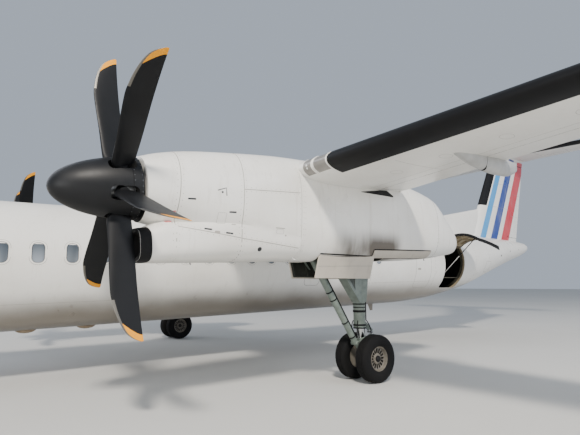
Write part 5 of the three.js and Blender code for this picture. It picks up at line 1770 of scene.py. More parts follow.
def make_propellers(f):
    rings, chart = [], []
    section = foil(1, 0, 16)
    for radius in [*spread(BLADE[0][0], 1600, 26), *spread(1600, BLADE[-1][0], 20)[1:]]:
        ahead, behind, thick = blade_curve(radius)
        twist = math.radians(12 * (1 - radius / 1540))
        cos, sin = math.cos(twist), math.sin(twist)
        ring = []
        for share, h, _ in section:
            run, up = -ahead + share * (ahead + behind), h * thick * 0.98
            ring.append((radius, run * cos - up * sin, run * sin + up * cos))
        rings.append(ring)
        chart.append([(radius * MM, share) for share, _, _ in section])
    blade = smooth(skin("blade", rings, f.blade, chart=chart), 40)
    for side, sign, phase in (("left", 1, LEFT_PHASE), ("right", -1, RIGHT_PHASE)):
        shaft = shaft_frame(sign)
        turns = [shaft @ Matrix.Rotation(math.radians(-(phase + 60 * i)), 4, "Y") for i in range(6)]
        blades = [copied(blade, f"blade_{side}_{i}", turn) for i, turn in enumerate(turns)]
        settle(join(f"propeller_blades_{side}", blades), f"propeller_{side}", body=f"propeller_{side}_unit",
            slot="propeller_black")
        hub = lathe(f"propeller_hub_{side}", [(-190, 0), (-190, 250), (180, 250), (184, 212), (200, 120),
                (540, 120), (540, 0)], f.steel, shaft @ LATHE_TO_SHAFT)
        roots = [rod("blade_root", (200, 0, 0), (400, 0, 0), 78, f.seal, 74, 40, 6) for _ in turns]
        for root, turn in zip(roots, turns):
            root.data.transform(turn)
        settle(join(f"propeller_hub_{side}", [hub, *roots]), body=f"propeller_{side}_unit",
            slot="propeller_black")
        length = SPINNER["nose"] + SPINNER["tail"]
        profile = []
        for i in range(41):
            behind = length * (i / 40) ** 2
            profile.append((behind - SPINNER["nose"], spinner_radius(behind)))
        inner = SPINNER["hub"] + CLEARANCE
        profile += [(SPINNER["tail"] + 0.5, profile[-1][1] - 4), (SPINNER["tail"], inner), (-198, inner),
            (-198, 0)]
        spinner = lathe(f"spinner_shell_{side}", profile, f.spinner, shaft @ LATHE_TO_SHAFT, 96)
        sockets = [slab("socket", (200, 600), (-172, 185), (-95, 95), f.cavity, 70, 0,
                turn) for turn in turns]
        carve(spinner, *sockets)
        settle(smooth(spinner, 30), f"spinner_{side}", body=f"propeller_{side}_unit", slot="spinner_black")
        radius = spinner_radius(940)
        band = lathe(f"spinner_seam_{side}", [(102, radius - 6), (102, radius + 1.6), (112, radius + 1.6),
                (112, radius - 6)], f.seal, shaft @ LATHE_TO_SHAFT, 96)
        for turn in turns:
            carve(band, slab("socket", (200, 600), (-172, 185), (-95, 95), f.cavity, 70, 0, turn))
        settle(band, body=f"propeller_{side}_unit", slot="spinner_black")
        screws = []
        for i in range(36):
            angle = math.radians(10 * i + 5)
            for stop in (124, 222):
                out = Vector((math.cos(angle), 0, math.sin(angle)))
                spot = out * (spinner_radius(stop + SPINNER["nose"]) * MM) + Vector((0, stop * MM, 0))
                screws.append((shaft @ spot, shaft.to_3x3() @ out))
        clear = [spot for spot in screws if all(abs((turn.inverted() @ spot[0]).z) > 0.11 or (
                    turn.inverted() @ spot[0]).x < 0 or (
                    turn.inverted() @ spot[0]).y > 0.19 for turn in turns)]
        settle(studs(f"spinner_screws_{side}", clear, 6, f.steel, 0.5), body=f"propeller_{side}_unit",
            slot="wheel_metal")
    bpy.data.objects.remove(blade)


class AIRLINER_OT_propellers(bpy.types.Operator):
    """Six-bladed feathered propellers and their spinners"""

    bl_idname = "airliner.propellers"
    bl_label = "Propellers"

    def execute(self, context):
        make_propellers(FINISH)
        return {"FINISHED"}


# Tail

FIN_LOW, FIN_HIGH = 3700, 7960
RUDDER_NOSE, RUDDER_NOSE_END = 119, 103
DORSAL = [(3700, 21600, 30500, 0.036), (4560, 25300, 30600, 0.04), (5120, 28080, 30800, 0.03)]
ELEVATOR_INNER, ELEVATOR_OUTER = 240, 4560


def fin_edge_ring(z, reach, lift):
    """A closed ring round the fin's leading edge, reaching so far aft on both sides, in millimetres."""
    leading, trailing, thickness = fin_row(z)
    chord = trailing - leading

    def shell(grow):
        shares = [(k / 9) ** 2 * reach / chord for k in range(9, 0, -1)]
        left = [(half_thickness(thickness, s) * chord + grow, s) for s in shares]
        right = [(-h, s) for h, s in reversed(left)]
        return [(h, row_y(leading) + s * chord - grow * (1 - s * chord / reach), z) for h, s in [*left,
                (0, 0), *right]]

    return [*shell(lift), *reversed(shell(-4))]


def tail_edge_ring(x, reach, lift):
    chord = tail_chord(x)
    front = row_y(LENGTH - chord)

    def shell(grow):
        shares = [(k / 9) ** 2 * reach / chord for k in range(9, 0, -1)]
        top = [(half_thickness(0.12, s) * chord + grow, s) for s in shares]
        low = [(-h, s) for h, s in reversed(top)]
        return [(x, front + s * chord - grow * (1 - s * chord / reach), TAIL_Z + h) for h, s in [*top,
                (0, 0), *low]]

    return [*shell(lift), *reversed(shell(-4))]


def rudder_region(low, high, ahead, finish):
    points = [(low, ahead), (low, -FAR), (high, -FAR), (high, ahead)]
    return prism("rudder_region", [(fin_trailing(z) - RUDDER_CHORD - d, z) for z, d in points], (-600, 600),
        finish)


def make_tail(f):
    fin = skin("fin_skin", [fin_ring(z, *fin_row(z)) for z in spread(FIN_LOW, FIN_HIGH, 12)], f.tail_enamel)
    low, high = (Vector((0, row_y(fin_trailing(z) - RUDDER_CHORD), z)) for z in (RUDDER_LOW, RUDDER_HIGH))
    rise = (high - low).normalized()
    length = (high - low).length
    rudder = carve(copied(fin, "rudder_skin"), rudder_region(RUDDER_LOW, RUDDER_HIGH, 0, f.seal),
        how="INTERSECT")
    nose = rod("rudder_nose", low + rise * 60, low + rise * (length - 30), RUDDER_NOSE - 1, f.tail_enamel,
        RUDDER_NOSE_END - 1, 48)
    carve(nose, rudder_region(RUDDER_LOW, RUDDER_HIGH, 400, f.tail_enamel), how="INTERSECT")
    carve(rudder, nose, how="UNION")
    settle(smooth(rudder, 25), "rudder", body="rudder_unit")
    hollow = rod("rudder_hollow", low - rise * 60, low + rise * (length + 60), RUDDER_NOSE + 10, f.cavity,
        RUDDER_NOSE_END + 10, 48)
    carve(hollow, rudder_region(RUDDER_LOW - 16, RUDDER_HIGH + 25, 400, f.cavity), how="INTERSECT")
    dorsal = skin("fin_dorsal", [fin_ring(*row) for row in DORSAL], f.white_enamel)
    gap = rudder_region(RUDDER_LOW - 16, RUDDER_HIGH + 25, 0, f.cavity)
    carve(fin, gap, hollow, keep=True)
    carve(dorsal, gap, hollow)
    settle(smooth(fin, 25), "fin")
    settle(smooth(dorsal, 25))
    plane = skin("tailplane_skin", [tail_ring(x) for x in spread(-TAIL_HALF, TAIL_HALF, 16)],
        f.white_enamel)
    hinge_y = row_y(LENGTH - TAIL_HINGE)
    chords = [TAIL_ROOT + (TAIL_TIP - TAIL_ROOT) * x / TAIL_HALF for x in (ELEVATOR_INNER, ELEVATOR_OUTER)]
    noses = [half_thickness(0.12, (chord - TAIL_HINGE) / chord) * chord for chord in chords]
    elevator = carve(copied(plane, "elevator"), block("elevator_box", (ELEVATOR_INNER, ELEVATOR_OUTER),
            (hinge_y, hinge_y + FAR), (7790, 8390), f.seal), how="INTERSECT")
    carve(elevator, rod("elevator_nose", (ELEVATOR_INNER, hinge_y, TAIL_Z),
            (ELEVATOR_OUTER, hinge_y, TAIL_Z), noses[0] - 1, f.white_enamel, noses[1] - 1, 40), how="UNION")
    settle_pair(smooth(elevator, 25), "elevator_{}", body="elevator_{}_unit")
    bullet = skin("tail_bullet", [cross_ring(0, row_y(s), *bullet_curve(s), sides=48) for s in spread(29450,
                32700, 40)], f.white_enamel)
    for sign in (1, -1):
        x0, x1 = sorted((sign * (ELEVATOR_INNER - CLEARANCE), sign * (ELEVATOR_OUTER + CLEARANCE)))
        gap = block("elevator_gap", (x0, x1), (hinge_y, hinge_y + FAR), (7790, 8390), f.cavity)
        ends = (ELEVATOR_INNER - CLEARANCE, ELEVATOR_OUTER + CLEARANCE)
        hollow = rod("elevator_hollow", (sign * ends[0], hinge_y, TAIL_Z),
            (sign * ends[1], hinge_y, TAIL_Z), noses[0] + 7, f.cavity, noses[1] + 7, 40)
        carve(plane, gap, hollow)
    settle(smooth(plane, 25), "tailplane")
    settle(smooth(bullet, 25))


class AIRLINER_OT_tail(bpy.types.Operator):
    """Fin with its dorsal fillet, rudder, tailplane with its bullet, and elevators"""

    bl_idname = "airliner.tail"
    bl_label = "Tail"

    def execute(self, context):
        make_tail(FINISH)
        return {"FINISHED"}


def make_tail_details(f):
    boot = skin("fin_boot", [fin_edge_ring(z, 420, 3) for z in spread(5330, 7870, 8)], f.boot)
    settle(smooth(boot, 40), slot="tyre_rubber")
    edge = skin("tailplane_boot", [tail_edge_ring(x, 260, 3) for x in spread(330, 4560, 8)], f.boot)
    settle_pair(smooth(edge, 40), slot="tyre_rubber")
    fin = Surface("fin_skin")
    rudder = Surface("rudder_skin")
    width = settings().seam_width / MM * 0.7
    joints = []
    for sign in (1, -1):
        for z in (5330, 6480, 7860):
            front = fin_row(z)[0] + (430 if z > 5330 else 60)
            joints.append(fin.side_path(dense([(front, z), (fin_trailing(z) - RUDDER_CHORD - 130, z)], 90),
                    sign))
        edge = [(fin_row(z)[0] + 1750 - (z - 4600) * 0.02, z) for z in spread(4600, 7860, 30)]
        joints.append(fin.side_path(edge, sign))
    settle(strips("fin_joints", joints, width, f.seam))
    bands = []
    for sign in (1, -1):
        for z in (5050, 6150, 7100):
            line = [(fin_trailing(z) - RUDDER_CHORD + d, z) for d in spread(60, 940, 12)]
            bands.append(rudder.side_path(line, sign))
        tab = [(fin_trailing(z) - 300, z) for z in spread(4200, 6100, 14)]
        bands.append(rudder.side_path(tab, sign))
    settle(strips("rudder_joints", bands, width, f.seam), body="rudder_unit")
    plane = Surface("tailplane_skin")
    lines = []
    for up in (1, -1):
        for x in (1250, 2400, 3500, 4380):
            stations = spread(LENGTH - tail_chord(x) + 280, LENGTH - TAIL_HINGE - 110, 10)
            lines.append(plane.flat_path([(x, row_y(s), TAIL_Z) for s in stations], up))
    settle_pair(strips("tailplane_joints", lines, width, f.seam))
    elevator = Surface("elevator_left")
    tabs = []
    for up in (1, -1):
        stations = spread(LENGTH - 560, LENGTH - 170, 6)
        tabs += [elevator.flat_path([(x, row_y(s), TAIL_Z) for s in stations], up) for x in (700, 2300)]
        tabs.append(elevator.flat_path([(x, row_y(LENGTH - 170), TAIL_Z) for x in spread(700, 2300, 12)],
                up))
    settle_pair(strips("elevator_joints", tabs, width, f.seam), body="elevator_{}_unit")
    brackets = []
    for x in (1300, 2450, 3600):
        chord = tail_chord(x)
        depth = half_thickness(0.12, (chord - TAIL_HINGE) / chord) * chord
        y = row_y(LENGTH - TAIL_HINGE)
        brackets.append(slab("bracket", (x - 12, x + 12), (y - 190, y + 26),
                (TAIL_Z - depth - 26, TAIL_Z - depth + 30), f.white_enamel, 22, 0))
    settle_pair(join("elevator_brackets", brackets))
    wicks = []
    for x in (3300, 3900, 4450):
        tip = Vector((x, row_y(LENGTH) - 4, TAIL_Z))
        wicks.append(rod("wick", tip - Vector((0, 90, 0)), tip, 3.5, f.seal, 1.5, 8))
    settle_pair(join("elevator_wicks", wicks), body="elevator_{}_unit", slot="propeller_black")
    lamp = lathe("tail_lamp", [(0, 0), (0, 34), (30, 34), (52, 26), (64, 12), (68, 0)], f.lens,
        plane_frame((0, row_y(32680), 8095), (0, 1, 0), (0, 0, 1)), 32)
    settle(lamp, slot="wheel_metal")
    cone = Surface("fuselage_skin")
    vents = [plate(f"cone_vent_{sign}", cone, (31910, 3690), (190, 60), f.cavity, sign, 1.5,
            24) for sign in (1, -1)]
    settle(join("cone_vents", vents), slot="propeller_black")


class AIRLINER_OT_tail_details(bpy.types.Operator):
    """Boots, joints, hinge brackets, lamps and vents of the tail"""

    bl_idname = "airliner.tail_details"
    bl_label = "Tail details"

    def execute(self, context):
        make_tail_details(FINISH)
        return {"FINISHED"}


# Landing gear

SPOKES = 16


def tyre(name, radius, width, rim, middle, grooves):
    """A bulging tyre with grooves round its tread, about a level axle."""
    half, tall = width / 2, radius - rim
    right = [(0.7 * half, rim - 4), (0.84 * half, rim + 0.08 * tall), (0.95 * half, rim + 0.24 * tall),
        (half, rim + 0.44 * tall), (0.985 * half, rim + 0.6 * tall), (0.93 * half, rim + 0.76 * tall),
        (0.83 * half, rim + 0.88 * tall), (0.7 * half, rim + 0.955 * tall), (0.54 * half, radius - 1.5)]
    crown = []
    for spot in sorted(grooves, reverse=True):
        x = spot * half
        crown += [(x + 5, radius), (x + 3.5, radius - 8), (x - 3.5, radius - 8), (x - 5, radius)]
    left = [(-x, r) for x, r in reversed(right)]
    return lathe(name, [*right, *crown, *left, right[0]], FINISH.tyre,
        Matrix.Translation(Vector(middle) * MM), 96)


def wheel(name, width, rim, middle, sign, sleeve, reach, spokes=SPOKES):
    """A spoked wheel with its cap outwards and its sleeve inwards."""
    f = FINISH
    half = width / 2
    turn = Matrix.Translation(Vector(middle) * MM) @ (Matrix() if sign > 0 else Matrix.Rotation(math.pi, 4,
            "Z"))
    scale = rim / 225
    rows = [(-0.7 * half, 0), (-0.7 * half, rim - 9), (0.6 * half, rim - 9), (0.72 * half, rim - 3),
        (0.76 * half, rim - 6), (0.76 * half, rim - 13 * scale), (0.62 * half, rim - 22 * scale),
        (0.38 * half, rim - 30 * scale), (0.3 * half, rim - 42 * scale), (0.3 * half, 96 * scale),
        (0.42 * half, 88 * scale), (0.44 * half, 72 * scale), (0.44 * half, 0)]
    disc = lathe(name, rows, f.wheel, turn, 96)
    cutters = []
    for i in range(spokes):
        spin = turn @ Matrix.Rotation(2 * math.pi * i / spokes, 4, "X")
        cutters.append(slab("slot", (0.05 * half, half), (-18 * scale, 18 * scale),
                (98 * scale, 182 * scale), f.cavity, 13 * scale, 0, spin, 4))
    carve(disc, join("slots", cutters))
    smooth(disc, 30)
    cap_rows = [(0.4 * half, 0), (0.4 * half, 60 * scale), (0.58 * half, 58 * scale),
        (0.66 * half, 44 * scale), (0.68 * half, 0)]
    cap = lathe(name + "_cap", cap_rows, f.seal, turn, 12)
    bolts = []
    for i in range(spokes):
        spin = turn @ Matrix.Rotation(2 * math.pi * (i + 0.5) / spokes, 4, "X")
        bolt = lathe("bolt", [(0.28 * half, 0), (0.28 * half, 8 * scale), (0.34 * half, 8 * scale),
                (0.36 * half, 0)], f.steel, spin @ Matrix.Translation((0, 0, 180 * scale * MM)), 6)
        bolts.append(bolt)
    inner = (abs(reach) - abs(middle[0] - (SIDE_X if abs(middle[0]) > 1000 else 0)))
    tube = lathe(name + "_sleeve", [(-0.7 * half + 2, 0), (-0.7 * half + 2, sleeve), (inner, sleeve),
            (inner, 0)], f.steel, turn, 40)
    return join(name, [disc, cap, tube, *bolts])


def make_main_gear(f):
    leg_y = row_y(15820)
    top, foot = Vector((SIDE_X, row_y(14510), 2470)), Vector((SIDE_X, row_y(15700), 700))
    axle = Vector((SIDE_X, row_y(MAIN_STATION), MAIN_RADIUS))
    yoke = prism("main_yoke", [(15330, 2600), (15330, 1960), (15730, 1450), (15915, 1450), (15990, 1960),
            (15990, 2600)], (SIDE_X - 108, SIDE_X + 108), f.leg)
    # Pockets in the yoke's sides, their walls darkened as painted shade
    for sign in (1, -1):
        sides = sorted((SIDE_X + sign * 92, SIDE_X + sign * 130))
        carve(yoke, prism("pocket", [(15400, 2560), (15400, 1985), (15620, 1690), (15620, 2560)], sides,
                f.leg_shade))
    modify(yoke, "BEVEL", width=0.012, segments=2, limit_method="ANGLE")
    parts = [
        smooth(yoke, 35),
        rod("main_cylinder", (SIDE_X, leg_y, 3042), (SIDE_X, leg_y, 1000), 118, f.leg, 112, 48, 8),
        rod("main_collar", (SIDE_X, leg_y, 1045), (SIDE_X, leg_y, 985), 119, f.leg, 119, 48, 8),
        rod("main_fork", (SIDE_X, leg_y + 25, 800), axle, 96, f.leg, 92, 40, 8),
        rod("main_axle", axle - Vector((97, 0, 0)), axle + Vector((97, 0, 0)), 86, f.leg, 86, 40, 6),
        rod("drag_strut", top, foot, 71, f.leg, 56, 40),
        rod("lower_strut", foot + Vector((0, -35, 50)), axle + Vector((0, -20, 40)), 46, f.leg, 50, 32),
        rod("cross_bar", top - Vector((400, 0, 0)), top + Vector((400, 0, 0)), 58, f.leg, 58, 32),
    ]
    settle_pair(join("main_leg", parts), "main_leg_{}", slot="leg_paint")
    piston = rod("main_piston", (SIDE_X, leg_y, 1020), (SIDE_X, leg_y + 36, 770), 76, f.chrome, 76, 48)
    settle_pair(piston, slot="wheel_metal")
    bands = []
    for z, radius, height in ((1404, 121, 24), (1345, 120, 18), (1262, 121, 40), (1010, 121, 34),
            (960, 124, 14)):
        bands.append(rod("band", (SIDE_X, leg_y, z), (SIDE_X, leg_y, z + height), radius, f.seal, radius,
                48, 4))
    for share in (0.46, 0.54, 0.777, 0.93):
        middle = top.lerp(foot, share)
        run = (foot - top).normalized() * 12
        size = 77 - 14 * share
        bands.append(rod("clamp", middle - run, middle + run, size, f.seal, size, 40, 4))
    behind = Vector((52, 48, 32))
    cable = [top.lerp(foot, share) + behind * (1 - 0.15 * share) for share in spread(0.12, 0.96, 8)]
    bands.append(hose("strut_cable", cable, 11, f.seal, 12))
    for x in (-60, 60):
        bands.append(hose("leg_hose", [(SIDE_X + x, leg_y + 118, z) for z in (2300, 1800, 1300)] + [
                    (SIDE_X + x, leg_y + 118, 1110)], 10, f.seal, 12))
        bands.append(hose("brake_hose", [(SIDE_X + x, leg_y + 112, 1120), (SIDE_X + 1.2 * x, leg_y + 190,
                        1040), (SIDE_X + 1.5 * x, leg_y + 235, 900), (SIDE_X + 1.5 * x, leg_y + 200, 740),
                    (SIDE_X + 1.1 * x, axle.y + 105, 560), (SIDE_X + x, axle.y + 40, 500),], 10, f.seal,
                12))
        bands.append(hose("front_loop", [(SIDE_X + x, leg_y - 105, 1110), (SIDE_X + 1.3 * x, leg_y - 165,
                        1000), (SIDE_X + 1.3 * x, leg_y - 130, 880), (SIDE_X + x, leg_y - 70, 790)], 9,
                f.seal, 12))
    settle_pair(join("main_leg_hoses", bands), slot="tyre_rubber")
    links = []
    for x in (-42, 42):
        links.append(slab("link", (SIDE_X + x - 9, SIDE_X + x + 9), (-150, 150), (-22, 22), f.leg, 20, 0,
                plane_frame((0, leg_y + 185, 1000), (1, 0, 0), (0, 0.62, 0.78))))
        links.append(slab("link", (SIDE_X + x - 9, SIDE_X + x + 9), (-170, 170), (-22, 22), f.leg, 20, 0,
                plane_frame((0, leg_y + 195, 745), (1, 0, 0), (0, -0.5, 0.87))))
    for y, z in ((leg_y + 92, 1080), (leg_y + 286, 880), (leg_y + 108, 620)):
        links.append(rod("link_pin", (SIDE_X - 62, y, z), (SIDE_X + 62, y, z), 20, f.steel, 20, 24, 4))
    links.append(rod("strut_foot", foot - Vector((84, 0, 0)), foot + Vector((84, 0, 0)), 46, f.leg, 46, 32,
            5))
    links.append(rod("foot_bolt", foot - Vector((94, 0, 0)), foot + Vector((94, 0, 0)), 18, f.steel, 18, 24,
            3))
    settle_pair(join("main_torque_links", links), slot="leg_paint")
    for label, sign in FLANKS:
        middle = axle + Vector((sign * MAIN_SPACING / 2, 0, 0))
        rubber = tyre(f"main_tyre_{label}_skin", MAIN_RADIUS, MAIN_WIDTH, MAIN_RIM, middle,
            (-0.36, -0.12, 0.12, 0.36))
        settle_pair(rubber, f"main_tyre_{label}_{{}}", body="main_wheels_{}", slot="tyre_rubber")
        hub = wheel(f"main_wheel_{label}", MAIN_WIDTH, MAIN_RIM, middle, sign, 60, 106.3)
        settle_pair(hub, f"main_hub_{label}_{{}}", body="main_wheels_{}", slot="wheel_metal")


class AIRLINER_OT_main_gear(bpy.types.Operator):
    """Main landing gear legs with their struts, hoses and twin wheels"""

    bl_idname = "airliner.main_gear"
    bl_label = "Main gear"

    def execute(self, context):
        make_main_gear(FINISH)
        return {"FINISHED"}


def make_gear_doors(f):
    y0, y1 = row_y(14440), row_y(15790)
    grown = skin("pod_grown", [pod_ring(nacelle_curve, s, CLEARANCE) for s in spread(COWL_END, 16400, 14)],
        f.seal)
    for label, sign in FLANKS:
        sides = sorted((SIDE_X + sign * 412, SIDE_X + sign * 442))
        lean = turned((SIDE_X + sign * 442, 0, 2250), (0, 1, 0), sign * 17)
        # The door's darker beige is dust together with painted shade
        door = block("gear_door", sides, (y0, y1), (1870, 2320), f.door_enamel, lean, bevel=7)
        carve(door, grown, keep=True)
        settle_pair(smooth(door, 30), f"gear_door_{label}_{{}}")
        inside = SIDE_X + sign * 411
        # The door's inner lining and ribs are dark as painted shade
        lining = block("liner", sorted((inside, inside - sign * 3)), (y0 + 25, y1 - 25), (1890, 2225),
            f.primer, bevel=1)
        ribs = [block("rib", sorted((inside, inside - sign * 26)), (y, y + 40), (1900, 2230), f.primer,
                bevel=5) for y in spread(y0 + 40, y1 - 80, 4)]
        ribs += [block("rail", sorted((inside, inside - sign * 22)), (y0 + 30, y1 - 30), (z, z + 36),
                f.primer, bevel=5) for z in (1885, 2190)]
        frame_parts = join(f"gear_door_frame_{label}", [lining, *ribs])
        frame_parts.data.transform(lean)
        settle_pair(frame_parts)
        edge = SIDE_X + sign * 427
        seal = hose(f"gear_door_seal_{label}", [(edge, y0 + 14, 2180), (edge, y0 + 2, 1900),
                (edge, y0 + 40, 1872), (edge, y1 - 40, 1872), (edge, y1 - 2, 1900), (edge, y1 - 14, 2180)],
            7, f.seal, 12)
        seal.data.transform(lean)
        settle_pair(seal, slot="tyre_rubber")
        # A thin grey strip of painted shade along the door's crease
        outer = SIDE_X + sign * 442
        crease_shade_line = block(f"gear_door_crease_{label}", sorted((outer - sign * 2, outer + sign * 3)),
            (y0 + 20, y1 - 20), (-4, 4), f.seam, lean @ Matrix.Translation((0, 0, 2.135)) @ Matrix.Rotation(
                0.028, 4, "X"))
        settle_pair(crease_shade_line)
        piano = block(f"gear_door_hinge_{label}", sorted((outer - sign * 26, outer - sign * 2)),
            (y0 + 4, y1 - 4), (2262, 2280), f.seal, bevel=4)
        settle_pair(piano, slot="tyre_rubber")
        if sign < 0:
            stay = rod("gear_door_rod", (SIDE_X - 230, row_y(14560), 2330),
                (SIDE_X - 395, row_y(14980), 1990), 17, f.leg, bevel=3)
            settle_pair(stay, slot="leg_paint")
    bpy.data.objects.remove(grown)
    nose = block("nose_gear_door", (252, 272), (row_y(1700), row_y(2300)), (620, 1200), f.white_enamel,
        bevel=5)
    hull = skin("hull_grown", [body_ring(s, CLEARANCE) for s in spread(0.4, 3200, 40)], f.white_enamel)
    carve(nose, hull)
    settle_pair(smooth(nose, 30), "nose_door_{}")
    ribs = [block("rib", (240, 252), (row_y(s), row_y(s) + 26), (650, 900), f.lining, bevel=3) for s in (
            1730, 1880, 2030, 2180)]
    settle_pair(join("nose_door_frame", ribs))


class AIRLINER_OT_gear_doors(bpy.types.Operator):
    """Main and nose gear doors with their frames, and painted shade along the main doors' creases"""

    bl_idname = "airliner.gear_doors"
    bl_label = "Gear doors"

    def execute(self, context):
        make_gear_doors(FINISH)
        return {"FINISHED"}


def make_nose_gear(f):
    axle = Vector((0, row_y(NOSE_STATION), NOSE_RADIUS))
    y = axle.y - 55
    leg = [
        rod("nose_cylinder", (0, y, 1322), (0, y, 640), 75, f.leg, 75, 48, 6),
        rod("nose_collar", (0, y, 700), (0, y, 642), 84, f.leg, 84, 48, 6),
        rod("nose_brace", (0, y + 30, 1100), (0, row_y(2480), 1250), 40, f.leg, 40, 32),
        rod("nose_trunnion", (-241, y, 1220), (241, y, 1220), 55, f.leg, 55, 32, 5),
        rod("nose_actuator", (-150, y - 40, 800), (150, y - 40, 800), 34, f.leg, 34, 32, 6),
    ]
    settle(join("nose_leg_parts", leg), "nose_leg", slot="leg_paint")
    fork = [
        rod("nose_fork_tube", (0, y, 632), (0, y, 380), 57, f.leg, 57, 48, 6),
        rod("nose_fork_foot", (0, y, 420), axle, 52, f.leg, 52, 40, 6),
        rod("nose_axle", axle - Vector((66, 0, 0)), axle + Vector((66, 0, 0)), 50, f.leg, 50, 40, 5),
        slab("nose_link", (-30, 30), (-85, 85), (-14, 14), f.leg, 12, 0,
             plane_frame((0, y - 92, 520), (1, 0, 0), (0, 0.8, 0.6))),
        rod("fork_band", (0, y, 628), (0, y, 600), 66, f.steel, 66, 40, 4),
    ]
    settle(join("nose_fork_parts", fork), "nose_fork", body="nose_wheel_fork", slot="leg_paint")
    lamps = []
    for sign in (1, -1):
        there = plane_frame((sign * 115, y - 60, 900), (0, -1, 0), (0, 0, 1))
        shell = lathe("lamp_shell", [(-60, 0), (-56, 40), (-10, 66), (24, 70), (28, 66), (20, 60), (20, 0)],
            f.leg, there, 40)
        lens = lathe("lamp_lens", [(12, 0), (12, 62), (20, 60), (26, 40), (28, 0)], f.lens, there, 40)
        lamps += [shell, lens, rod("lamp_arm", (sign * 115, y - 10, 900), (0, y, 900), 15, f.leg, 15, 20)]
    settle(join("nose_lamps", lamps), slot="wheel_metal")
    for side, sign in SIDES:
        middle = axle + Vector((sign * NOSE_SPACING / 2, 0, 0))
        rubber = tyre(f"nose_tyre_{side}_skin", NOSE_RADIUS, NOSE_WIDTH, NOSE_RIM, middle, (-0.24, 0.24))
        settle(rubber, f"nose_tyre_{side}", body="nose_wheels", slot="tyre_rubber")
        hub = wheel(f"nose_wheel_{side}", NOSE_WIDTH, NOSE_RIM, middle, sign, 36, 74.3, 10)
        settle(hub, f"nose_hub_{side}", body="nose_wheels", slot="wheel_metal")


class AIRLINER_OT_nose_gear(bpy.types.Operator):
    """Nose landing gear leg, steered fork, lamps and twin wheels"""

    bl_idname = "airliner.nose_gear"
    bl_label = "Nose gear"

    def execute(self, context):
        make_nose_gear(FINISH)
        return {"FINISHED"}


def make_fittings(f):
    hull = Surface("fuselage_skin")

    def blade_antenna(name, station, up, height, length, finish, slot):
        start = hull.hit((0, row_y(station), 2300 + up * 4000), (0, 0, -up))[0] / MM
        rings = []
        for share in spread(-0.08, 1, 6):
            chord = length * (1 - 0.45 * max(0, share))
            thick = 0.12 if share < 0.95 else 0.05
            front = start.y + length * 0.4 * max(0, share)
            rings.append(
                [(h * chord * thick, front + u * chord, start.z + up * height * share) for u, h, _ in foil(
                        1, 0, 8)])
        settle(smooth(skin(name, rings, finish), 40), slot=slot)

    for i, (station, up, height, length) in enumerate((
        (4300, 1, 230, 240), (20600, 1, 250, 260),
        (5300, -1, 190, 220), (20800, -1, 210, 240),
    )):
        blade_antenna(f"antenna_{i}", station, up, height, length, f.white_enamel, "white_paint")
    for i, station in enumerate((10846, 11979)):
        spot, normal = hull.hit((0, row_y(station), 0), (0, 0, 1))
        dome = lathe(f"belly_dome_{i}", [(-8, 0), (-8, 190), (14, 180), (44, 130), (60, 60), (64, 0)],
            f.tan_dome, plane_frame(spot / MM, normal, (0, 1, 0)), 40)
        settle(dome)
    for name, station, up in (("beacon_top", 18200, 1), ("beacon_low", 20200, -1)):
        spot, normal = hull.hit((0, row_y(station), 2300 + up * 4000), (0, 0, -up))
        there = plane_frame(spot / MM, normal, (0, 1, 0))
        base = lathe("beacon_base", [(-10, 0), (-10, 74), (12, 70), (14, 0)], f.steel, there, 40)
        dome = lathe("beacon_dome", [(12, 0), (12, 58), (44, 54), (70, 38), (82, 16), (84, 0)], f.red_glass,
            there, 40)
        settle(join(name, [base, dome]), slot="wheel_metal")
    probes = []
    for sign in (1, -1):
        for station, z in ((1450, 1750), (1450, 1600)):
            hit = hull.side_path([(station, z)], sign)[0]
            root, tip = hit[0] / MM, hit[0] / MM + Vector((sign * 95, 0, 0))
            probes.append(rod("probe_mast", root - Vector((sign * 12, 0, 0)), tip, 13, f.steel, 9, 16))
            probes.append(rod("probe", tip + Vector((0, 20, 0)), tip - Vector((0, 190, 0)), 9, f.steel, 5,
                    16))
        for station in (1700, 1830):
            hit = hull.side_path([(station, 1450)], sign)[0]
            probes.append(rod("vane", hit[0] / MM, hit[0] / MM + Vector((sign * 60, 30, 0)), 8, f.steel, 5,
                    12))
    settle(join("probes", probes), slot="wheel_metal")
    wipers = []
    for sign in (1, -1):
        angle = 68 if sign > 0 else 112
        low = body_point(1880, angle, 14)
        high = body_point(2400, 78 if sign > 0 else 102, 12)
        wipers.append(hose("wiper", [low, body_point(2140, 73 if sign > 0 else 107, 22), high], 9, f.mark,
                10))
    settle(join("wipers", wipers), slot="propeller_black")


class AIRLINER_OT_fittings(bpy.types.Operator):
    """Antennas, beacons and probes on the body"""

    bl_idname = "airliner.fittings"
    bl_label = "Antennas and beacons"

    def execute(self, context):
        make_fittings(FINISH)
        return {"FINISHED"}


# Stage

CAMERA = {"place": (10.50684, -6.93220, 1.76876), "right": (0.60770242, 0.79416169, -0.00222996),
    "up": (0.12091138, -0.08974697, 0.98859796), "lens": 27.68, "sensor": 36.0}
LAMPS = [
    ("key_lamp", (32, -21, 34), 5, 1.0, "#fff8ee"),
    ("fill_lamp", (34, 16, 14), 26, 0.2, "#eef3ff"),
    ("low_lamp", (14, -24, 4), 6, 0.06, "#ffffff"),
    ("far_lamp", (-26, -18, 20), 24, 0.17, "#f2f5ff"),
]


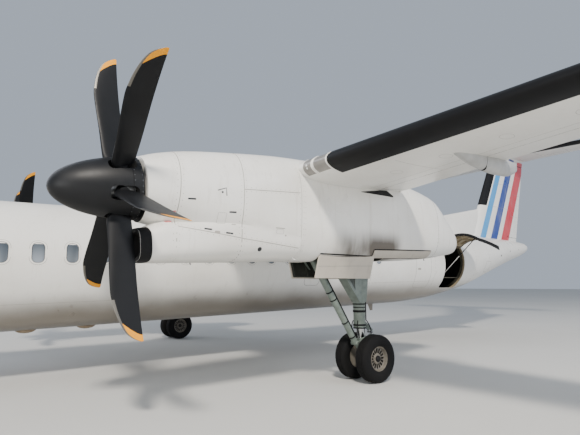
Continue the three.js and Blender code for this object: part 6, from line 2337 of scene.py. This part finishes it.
class AIRLINER_OT_stage(bpy.types.Operator):
    """Floor, soft lights and the camera at the photograph's viewing angle"""

    bl_idname = "airliner.stage"
    bl_label = "Floor, lights and camera"

    def execute(self, context):
        deselect()
        bpy.ops.mesh.primitive_plane_add(size=400, location=(0, 0, -0.002))
        named("floor", FINISH.floor)
        for name, spot, size, share, colour in LAMPS:
            deselect()
            aim = Vector((0, 0, 2.5)) - Vector(spot)
            bpy.ops.object.light_add(type="AREA", location=spot, rotation=aim.to_track_quat("-Z",
                    "Y").to_euler())
            lamp = bpy.context.object
            lamp.name = name
            lamp.data.size = size
            lamp.data.energy = settings().key_light * share
            lamp.data.color = linear(colour)[:3]
        world = bpy.data.worlds.new("studio_air")
        world.use_nodes = True
        back = world.node_tree.nodes["Background"]
        back.inputs["Color"].default_value = linear("#d4e0f0")
        back.inputs["Strength"].default_value = 0.64
        bpy.context.scene.world = world
        deselect()
        bpy.ops.object.camera_add()
        camera = bpy.context.object
        camera.name = "photo_camera"
        right, up = Vector(CAMERA["right"]), Vector(CAMERA["up"])
        turn = Matrix((right, up, right.cross(up))).transposed().to_4x4()
        camera.matrix_world = Matrix.Translation(CAMERA["place"]) @ turn
        camera.data.sensor_width = CAMERA["sensor"]
        camera.data.lens = CAMERA["lens"]
        camera.data.clip_end = 400
        bpy.context.scene.camera = camera
        return {"FINISHED"}


# Panel, registration and the run

PIECES = [AIRLINER_OT_fuselage, AIRLINER_OT_body_seams, AIRLINER_OT_airstair, AIRLINER_OT_baggage_door,
          AIRLINER_OT_wing, AIRLINER_OT_wing_edges, AIRLINER_OT_nacelles, AIRLINER_OT_nacelle_details,
          AIRLINER_OT_propellers, AIRLINER_OT_tail, AIRLINER_OT_tail_details, AIRLINER_OT_main_gear,
          AIRLINER_OT_gear_doors, AIRLINER_OT_nose_gear, AIRLINER_OT_fittings, AIRLINER_OT_stage]


class AIRLINER_PT_panel(bpy.types.Panel):
    """Lists the settings and the operator for each group of pieces"""

    bl_idname = "AIRLINER_PT_panel"
    bl_label = "Turboprop airliner"
    bl_space_type = "VIEW_3D"
    bl_region_type = "UI"
    bl_category = "Airliner"

    def draw(self, context):
        for key in AirlinerSettings.__annotations__:
            self.layout.prop(context.scene.airliner, key)
        for operator in PIECES:
            self.layout.operator(operator.bl_idname)


CLASSES = [AirlinerSettings, *PIECES, AIRLINER_PT_panel]


def register():
    for kind in CLASSES:
        bpy.utils.register_class(kind)
    bpy.types.Scene.airliner = bpy.props.PointerProperty(type=AirlinerSettings)


def unregister():
    del bpy.types.Scene.airliner
    for kind in reversed(CLASSES):
        bpy.utils.unregister_class(kind)


def main():
    register()
    vars(FINISH).update(build_materials(settings()))
    for side in ("left", "right"):
        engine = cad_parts[f"engine_{side}"]
        engine.data.materials.clear()
        engine.data.materials.append(FINISH.steel)
    for operator in PIECES:
        group, _, action = operator.bl_idname.partition(".")
        getattr(getattr(bpy.ops, group), action)()


if __name__ == "__main__":
    main()
